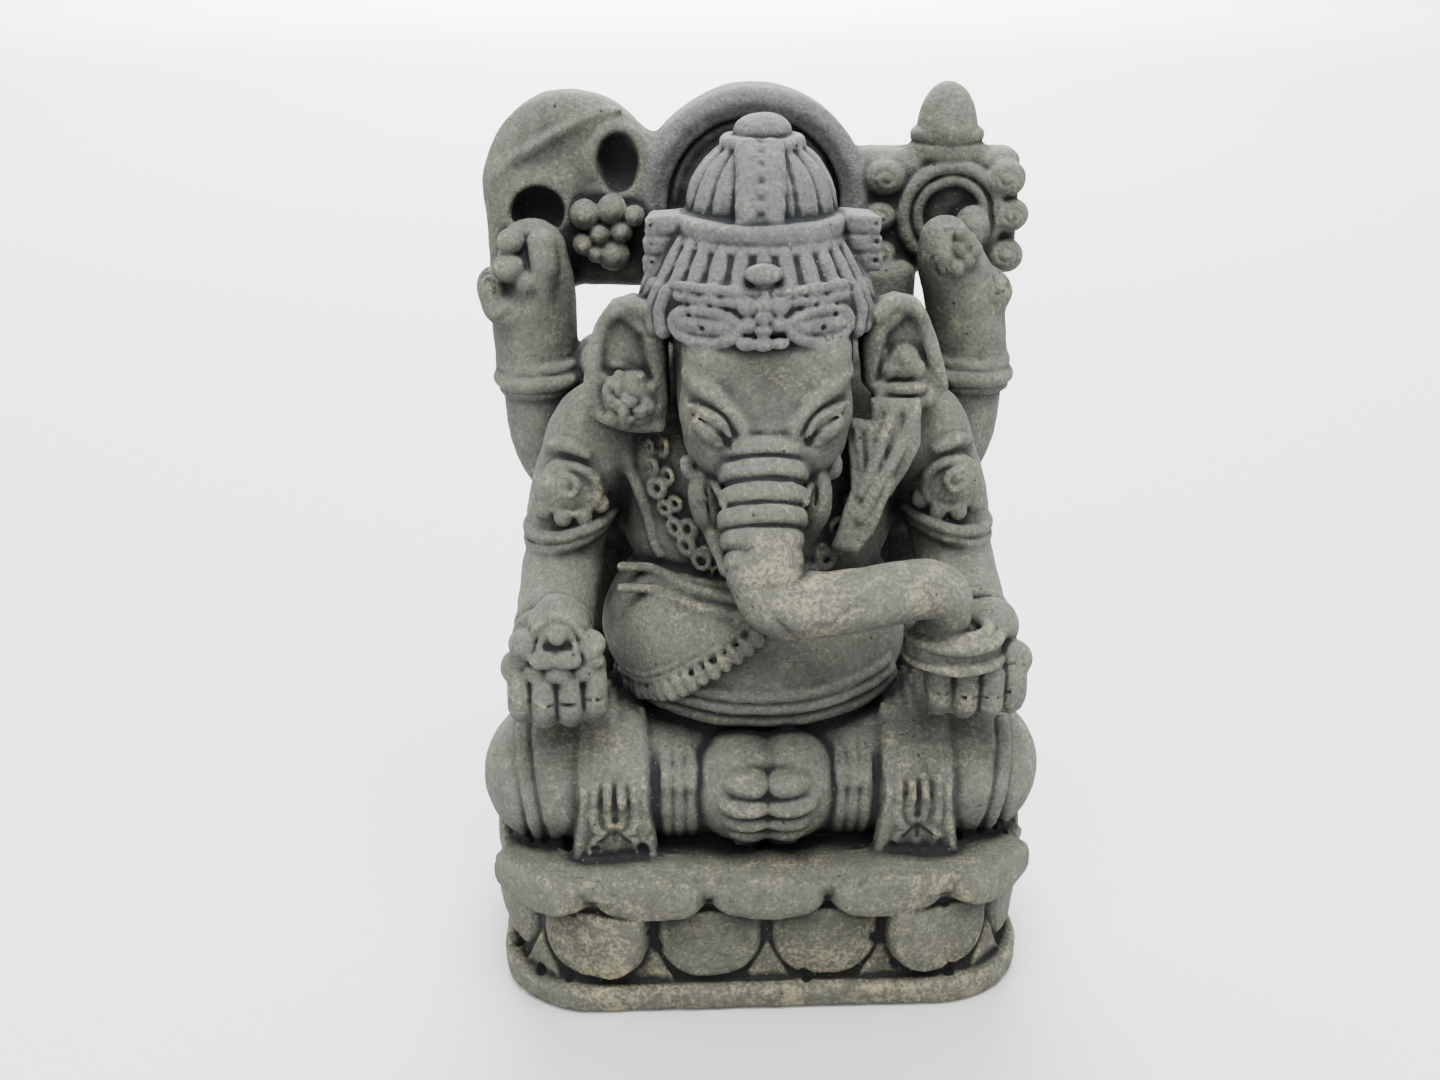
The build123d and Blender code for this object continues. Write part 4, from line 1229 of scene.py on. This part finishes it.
def weatherStone():
    assemble()
    rng = np.random.default_rng(clay["seed"])
    span = gridHigh - gridLow
    for size, depth in clay["wobble"]:
        lattice = rng.uniform(-1, 1, [int(s / size) + 6 for s in span]).astype(np.float32)
        np.add(stone, spreadOver(lattice, size) * np.float32(2 * depth), out=stone)
    # chips are knocked off thin edges near the foot of the block
    surface = np.argwhere(np.abs(stone) < voxel / 2)
    surface = surface[axes[2][surface[:, 2]] < weather["chipsBelow"]]
    surface = surface[rng.permutation(len(surface))[:weather["tries"]]]
    places = (gridLow + surface * voxel).astype(np.float32)
    inside = sample(stone, places - weather["edgeDepth"] * slopeAt(places))
    edges = places[inside > -weather["edgeThin"]]
    for place in edges[:weather["chips"]]:
        size = rng.uniform(*weather["chipSize"])
        push = slopeAt(place[None])[0] * size * rng.uniform(0.35, 0.8)
        distance, low, high = ball(place + push, size * np.array((1.3, 1, 0.8)), tuple(rng.uniform(0, 90, 3)))
        window = windowOf(low - 3, high + 3)
        stone[window] = -smoothMin(-stone[window], distance(*coordinates(window)), 0.4)


weatherStone()

# A closed mesh for each piece.
print("making the meshes")
# how far a piece runs level past a seam, and how steeply it then dives
seams = {"level": 0.9, "sink": 0.8}


fieldSizes = {"fine": 1.9, "shelter": 5.0, "depth": 14.0}     # how far round a place each one looks


def surfaceFields():
    # fine is positive on edges and negative in creases; the others say how much stone stands round a place
    near = np.clip(stone, -6, 6)
    solid = (stone < 0).astype(np.float32)
    return {
        "fine": averaged(near, max(1, round(fieldSizes["fine"] / voxel))) - near,
        "shelter": averaged(solid, round(fieldSizes["shelter"] / voxel)) - 0.5,
        "depth": averaged(solid, round(fieldSizes["depth"] / voxel)) - 0.5,
    }


sky = {
    "ways": ((0, -0.25, 0.97), (0.4, -0.25, 0.88), (-0.4, -0.25, 0.88),
             (0, -0.6, 0.8), (0.5, -0.5, 0.7), (-0.5, -0.5, 0.7)),
    "reaches": (5, 9, 14, 21, 30, 42, 56),
    "stoneShare": 0.6,          # against the share of facing down
}


def overhang(points):
    # how much of the sky above and before a place is hidden by stone close by, mixed with how far the face
    # turns down, 0 to 1; the finish darkens the colour by it as painted shade
    hidden = np.zeros(len(points), np.float32)
    for way in sky["ways"]:
        blocked = np.zeros(len(points), np.float32)
        for away in sky["reaches"]:
            place = (points + np.array(way, np.float32) * away - gridLow.astype(np.float32)) / voxel
            i = np.clip(np.rint(place).astype(np.int32), 0, np.array(gridShape) - 1)
            blocked = np.maximum(blocked, np.clip(0.5 - stone[i[:, 0], i[:, 1], i[:, 2]] / 5, 0, 1))
        hidden += blocked / len(sky["ways"])
    facingDown = np.clip(0.45 - slopeAt(points)[:, 2], 0, 1)
    hidden = sky["stoneShare"] * hidden + (1 - sky["stoneShare"]) * facingDown
    return hidden


def meshPiece(piece, fields):
    window, field = piece["window"], piece["field"]
    others = np.where(owner[window] == piece["index"], second[window], nearest[window])
    g = stone[window] + seams["sink"] * np.maximum(field - others - seams["level"], 0)
    g = np.maximum(g, field - clay["overlap"])
    for k in range(3):
        for edge in (0, -1):
            side = [slice(None)] * 3
            side[k] = edge
            g[tuple(side)] = np.maximum(g[tuple(side)], voxel)
    grid = vdb.FloatGrid(float(far))
    grid.copyFromArray(np.clip(g, -far, far).astype(np.float32))
    points, triangles, quads = grid.convertToPolygons(0.0, clay["merge"])
    triangles, quads = triangles.astype(np.int32), quads.astype(np.int32)
    first = np.array([w.start for w in window])
    points = (gridLow + (points + first) * voxel).astype(np.float32)
    a, b, c, d = (points[quads[:, k]] for k in range(4))
    volume = (np.cross(c - a, d - b) * (a + b + c + d)).sum()
    if volume < 0:
        triangles, quads = triangles[:, ::-1], quads[:, ::-1]
    mesh = bpy.data.meshes.new(piece["node"])
    mesh.vertices.add(len(points))
    mesh.vertices.foreach_set("co", (points * mm).ravel())
    corners = np.concatenate([triangles.ravel(), quads.ravel()])
    starts = np.concatenate([np.arange(0, triangles.size, 3), triangles.size + np.arange(0, quads.size, 4)])
    mesh.loops.add(len(corners))
    mesh.loops.foreach_set("vertex_index", corners)
    mesh.polygons.add(len(starts))
    mesh.polygons.foreach_set("loop_start", starts.astype(np.int32))
    mesh.update(calc_edges=True)
    mesh.polygons.foreach_set("use_smooth", np.ones(len(starts), bool))
    for name, values in {**{name: sample(field, points) for name, field in fields.items()},
                         "rub": rubbedAt(points), "overhang": overhang(points)}.items():
        mesh.attributes.new(name, "FLOAT", "POINT").data.foreach_set("value", values)
    visible = np.abs(sample(stone, points)) < voxel
    normals = np.empty(len(points) * 3, np.float32)
    mesh.vertex_normals.foreach_get("vector", normals)
    normals = normals.reshape(-1, 3)
    normals[visible] = slopeAt(points[visible])
    mesh.normals_split_custom_set_from_vertices(normals)
    obj = bpy.data.objects.new(piece["node"], mesh)
    bpy.context.scene.collection.objects.link(obj)
    obj.name = "stone_" + piece["node"]
    mesh.materials.append(finishes[piece["slot"]])
    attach(obj, "root")
    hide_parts(piece["node"])
    return len(triangles) + len(quads) * 2


# Where hands and cloths have rubbed the stone tan: place, reach, strength.
rubbed = [
    ((-10, -95, 205), 26, 0.5), ((25, -96, 208), 30, 1.0), ((62, -94, 212), 26, 1.0),
    ((84, -84, 198), 18, 0.6),
    ((0, -100, 228), 26, 0.45), ((22, -84, 222), 10, 0.6), ((-22, -84, 222), 10, 0.5),
    ((-92, -40, 110), 34, 0.7), ((92, -40, 110), 34, 0.8), ((-70, -74, 100), 30, 0.45),
    ((70, -74, 100), 30, 0.4),
    ((0, -92, 96), 22, 0.6), ((0, -95, 70), 60, 0.35), ((-85, -90, 70), 30, 0.4), ((85, -90, 70), 30, 0.3),
    ((-60, -100, 8), 60, 0.9), ((60, -100, 8), 60, 1.0), ((120, -60, 8), 40, 0.8), ((-120, -60, 8), 40, 0.8),
    ((-30, -50, 176), 24, 0.3), ((-62, -30, 270), 22, 0.4), ((66, -30, 290), 26, 0.5),
    ((-97, -70, 170), 22, 0.3), ((100, -80, 165), 24, 0.5), ((34, -60, 312), 10, 0.7),
    ((0, -66, 336), 12, 0.6),
    ((0, -70, 300), 30, 0.15), ((-85, 50, 385), 30, 0.2), ((100, 40, 310), 30, 0.3),
    ((-88, -18, 226), 20, 0.35),
    ((88, -18, 226), 20, 0.45),
]


def rubbedAt(points):
    out = np.zeros(len(points), np.float32)
    for place, reach, strength in rubbed:
        away = np.linalg.norm(points - np.array(place, np.float32), axis=1) / reach
        out = np.maximum(out, strength * np.exp(-away ** 2))
    return out


# Finishes.
# hollow is the near-black of dirt and painted shade in hollows, creases and pits
looks = {
    "figure_stone": {"body": "#676960", "hollow": "#15191d", "rubbed": "#aca07c", "speck": "#bab9ac",
                     "rub": 0.8},
    "crown_stone": {"body": "#686a67", "hollow": "#171b20", "rubbed": "#a29d88", "speck": "#bcbcb4",
                    "rub": 0.7},
    "base_stone": {"body": "#636459", "hollow": "#151819", "rubbed": "#aca07c", "speck": "#bab8aa",
                   "rub": 0.8},
}
grit = {"dirtAndShade": (0.02, 0.30), "patch": 26.0, "mottle": 7.0, "grain": 1.9, "pits": 7.0, "pitDepth": 0.5,
        "grainDepth": 0.3}


def colour(code):
    parts = [int(code[k:k + 2], 16) / 255 for k in (1, 3, 5)]
    return tuple(c / 12.92 if c <= 0.04045 else ((c + 0.055) / 1.055) ** 2.4 for c in parts) + (1.0,)


def noiseScale(size):
    # noise frequency for features of this many millimetres
    return 1 / (size * mm)


def castStone(name, look):
    # moulded volcanic stone: matt grey, dark in the hollows and creases from dirt and painted shade,
    # lightened and darkened by painted light and shade from overhangs and facing, tan where it is handled,
    # gritty and pitted
    material = bpy.data.materials.new(name)
    material.use_nodes = True
    tree = material.node_tree
    tree.nodes.clear()
    place = addNode(tree, "ShaderNodeTexCoord").outputs["Object"]
    fine = addNode(tree, "ShaderNodeAttribute", attribute_name="fine").outputs["Fac"]
    shelter = addNode(tree, "ShaderNodeAttribute", attribute_name="shelter").outputs["Fac"]
    depth = addNode(tree, "ShaderNodeAttribute", attribute_name="depth").outputs["Fac"]
    under = addNode(tree, "ShaderNodeAttribute", attribute_name="overhang").outputs["Fac"]
    rub = addNode(tree, "ShaderNodeAttribute", attribute_name="rub").outputs["Fac"]
    patch, mottle, grain = (addNode(tree, "ShaderNodeTexNoise", {
        "Vector": place, "Scale": noiseScale(grit[size]), "Detail": detail,
        "Roughness": rough}).outputs["Fac"]
        for size, detail, rough in (("patch", 3.0, 0.55), ("mottle", 4.0, 0.6), ("grain", 3.0, 0.7)))
    pitCells = addNode(tree, "ShaderNodeTexVoronoi", {
        "Vector": place, "Scale": noiseScale(grit["pits"]), "Randomness": 1.0}, feature="F1")
    pitSize = addNode(tree, "ShaderNodeSeparateColor", {"Color": pitCells.outputs["Color"]}).outputs[0]
    pitEdge = addNode(tree, "ShaderNodeMapRange",
                      {"Value": pitSize, 1: 0.45, 2: 1.0, 3: 0.0, 4: 0.2}).outputs[0]
    pit = addNode(tree, "ShaderNodeMapRange", {
        "Value": pitCells.outputs["Distance"], 1: pitEdge, 2: 0.0, 3: 0.0, 4: 1.0},
        interpolation_type="SMOOTHSTEP").outputs[0]
    # tone of the clean stone
    clean = addNode(tree, "ShaderNodeMapRange",
                    {"Value": mottle, 1: 0.3, 2: 0.7, 3: 0.82, 4: 1.16}).outputs[0]
    gritty = addNode(tree, "ShaderNodeMapRange",
                     {"Value": grain, 1: 0.25, 2: 0.75, 3: 0.6, 4: 1.4}).outputs[0]
    tone = addNode(tree, "ShaderNodeMath", {0: clean, 1: gritty}, operation="MULTIPLY").outputs[0]
    body = addNode(tree, "ShaderNodeMix", {0: 1.0, 6: colour(look["body"]), 7: tone},
                   data_type="RGBA", blend_type="MULTIPLY").outputs[2]
    # tan where rubbed and on sharp edges, broken up by the patches
    edge = addNode(tree, "ShaderNodeMapRange", {"Value": fine, 1: 0.15, 2: 0.9, 3: 0.0, 4: 0.62}).outputs[0]
    handled = addNode(tree, "ShaderNodeMath", {0: rub, 1: 0.62, 2: edge}, operation="MULTIPLY_ADD").outputs[0]
    broken = addNode(tree, "ShaderNodeMath", {0: patch, 1: mottle}, operation="ADD").outputs[0]
    broken = addNode(tree, "ShaderNodeMath", {0: grain, 1: 1.5, 2: broken},
                     operation="MULTIPLY_ADD").outputs[0]
    broken = addNode(tree, "ShaderNodeMapRange",
                     {"Value": broken, 1: 1.35, 2: 2.2, 3: -0.8, 4: 0.8}).outputs[0]
    worn = addNode(tree, "ShaderNodeMath", {0: handled, 1: broken}, operation="ADD").outputs[0]
    worn = addNode(tree, "ShaderNodeMapRange",
                   {"Value": worn, 1: 0.4, 2: 1.3, 3: 0.0, 4: look["rub"]}).outputs[0]
    worn = addNode(tree, "ShaderNodeMix", {0: worn, 6: body, 7: colour(look["rubbed"])},
                   data_type="RGBA").outputs[2]
    # dirt and painted shade in the hollows and creases, where much stone stands close round a place, and dark
    # pits
    low = addNode(tree, "ShaderNodeMath", {0: depth, 1: 0.8, 2: shelter}, operation="MULTIPLY_ADD").outputs[0]
    low = addNode(tree, "ShaderNodeMath", {0: fine, 1: -0.34, 2: low}, operation="MULTIPLY_ADD").outputs[0]
    low = addNode(tree, "ShaderNodeMath", {0: mottle, 1: 0.12, 2: low}, operation="MULTIPLY_ADD").outputs[0]
    dirtAndShadeAmount = addNode(tree, "ShaderNodeMapRange",
                    {"Value": low, 1: grit["dirtAndShade"][0], 2: grit["dirtAndShade"][1], 3: 0.0, 4: 0.93}).outputs[0]
    dirtAndShadeAmount = addNode(tree, "ShaderNodeMath", {0: dirtAndShadeAmount, 1: pit}, operation="MAXIMUM").outputs[0]
    dirtAndShade = addNode(tree, "ShaderNodeMix", {0: dirtAndShadeAmount, 6: worn, 7: colour(look["hollow"])},
                   data_type="RGBA").outputs[2]
    # pale specks of grit
    specks = addNode(tree, "ShaderNodeTexVoronoi", {"Vector": place, "Scale": noiseScale(4.2)}, feature="F1")
    speck = addNode(tree, "ShaderNodeMapRange", {
        "Value": specks.outputs["Distance"], 1: 0.10, 2: 0.06, 3: 0.0, 4: 0.4}).outputs[0]
    final = addNode(tree, "ShaderNodeMix", {0: speck, 6: dirtAndShade, 7: colour(look["speck"])},
                    data_type="RGBA").outputs[2]
    # painted light and shade: open faces turned up are lightened, faces under overhangs or turned down are
    # darkened
    shade = addNode(tree, "ShaderNodeMapRange", {"Value": under, 1: 0.1, 2: 0.75, 3: 1.12, 4: 0.3}).outputs[0]
    final = addNode(tree, "ShaderNodeMix", {0: 1.0, 6: final, 7: shade}, data_type="RGBA",
                    blend_type="MULTIPLY").outputs[2]
    pitted = addNode(tree, "ShaderNodeBump", {
        "Height": pit, "Distance": grit["pitDepth"] * mm, "Strength": 1.0}, invert=True).outputs[0]
    rough = addNode(tree, "ShaderNodeBump", {
        "Height": grain, "Distance": grit["grainDepth"] * 4 * mm, "Strength": 1.0,
        "Normal": pitted}).outputs[0]
    shader = addNode(tree, "ShaderNodeBsdfPrincipled", {
        "Base Color": final, "Roughness": 0.78, "Specular IOR Level": 0.32, "Normal": rough})
    addNode(tree, "ShaderNodeOutputMaterial", {"Surface": shader.outputs[0]})
    return material


finishes = {slot: castStone("cast_volcanic_stone_" + slot, look) for slot, look in looks.items()}
fields = surfaceFields()
triangles = {name: meshPiece(piece, fields) for name, piece in pieces.items()}
print("triangles", sum(triangles.values()), "most", max((n, name) for name, n in triangles.items()))

# Floor, lights and camera.
studio = {"floor": "#f4f4f4", "world": 0.9, "aim": (-18.0, 0.0, 196.99), "elevation": 22.0,
          "azimuth": -2.4, "distance": 757.6, "lens": 40.0,
          # each lamp: its place in metres, width, watts, and how far back it points
          "lamps": {"top": ((0.1, -0.3, 1.7), 0.8, 32.0, 0.0), "key": ((-0.8, -1.1, 1.4), 0.7, 5.0, 0.0),
                    "back": ((0.0, 2.6, 2.8), 2.5, 330.0, 1.5),
                    "backdrop": ((0.0, 8.0, 4.0), 5.0, 2600.0, 9.0)}}


def makeStudio():
    points = [(-20, -20, 0), (20, -20, 0), (20, 60, 0), (-20, 60, 0)]
    mesh = bpy.data.meshes.new("floor")
    mesh.from_pydata(points, [], [(0, 1, 2, 3)])
    floor = bpy.data.objects.new("floor", mesh)
    bpy.context.scene.collection.objects.link(floor)
    pale = bpy.data.materials.new("matt_paper_floor")
    pale.use_nodes = True
    shader = pale.node_tree.nodes["Principled BSDF"]
    shader.inputs["Base Color"].default_value = colour(studio["floor"])
    shader.inputs["Roughness"].default_value = 1.0
    shader.inputs["Specular IOR Level"].default_value = 0.0
    mesh.materials.append(pale)
    world = bpy.data.worlds.new("softbox")
    bpy.context.scene.world = world
    world.use_nodes = True
    world.node_tree.nodes["Background"].inputs[0].default_value = (1, 1, 1, 1)
    world.node_tree.nodes["Background"].inputs[1].default_value = studio["world"]
    for name, (place, size, power, aimY) in studio["lamps"].items():
        lamp = bpy.data.lights.new(name, "AREA")
        lamp.energy, lamp.size = power, size
        obj = bpy.data.objects.new(name, lamp)
        bpy.context.scene.collection.objects.link(obj)
        obj.location = place
        target = Vector((0, aimY, 0.2))
        obj.rotation_euler = (target - Vector(place)).to_track_quat("-Z", "Y").to_euler()
    lens = bpy.data.cameras.new("camera")
    lens.lens, lens.sensor_width = studio["lens"], 36.0
    camera = bpy.data.objects.new("camera", lens)
    bpy.context.scene.collection.objects.link(camera)
    a, e = math.radians(studio["azimuth"]), math.radians(studio["elevation"])
    back = Vector((math.sin(a) * math.cos(e), -math.cos(a) * math.cos(e), math.sin(e)))
    camera.location = (Vector(studio["aim"]) + back * studio["distance"]) * mm
    camera.rotation_euler = (-back).to_track_quat("-Z", "Y").to_euler()
    bpy.context.scene.camera = camera


makeStudio()
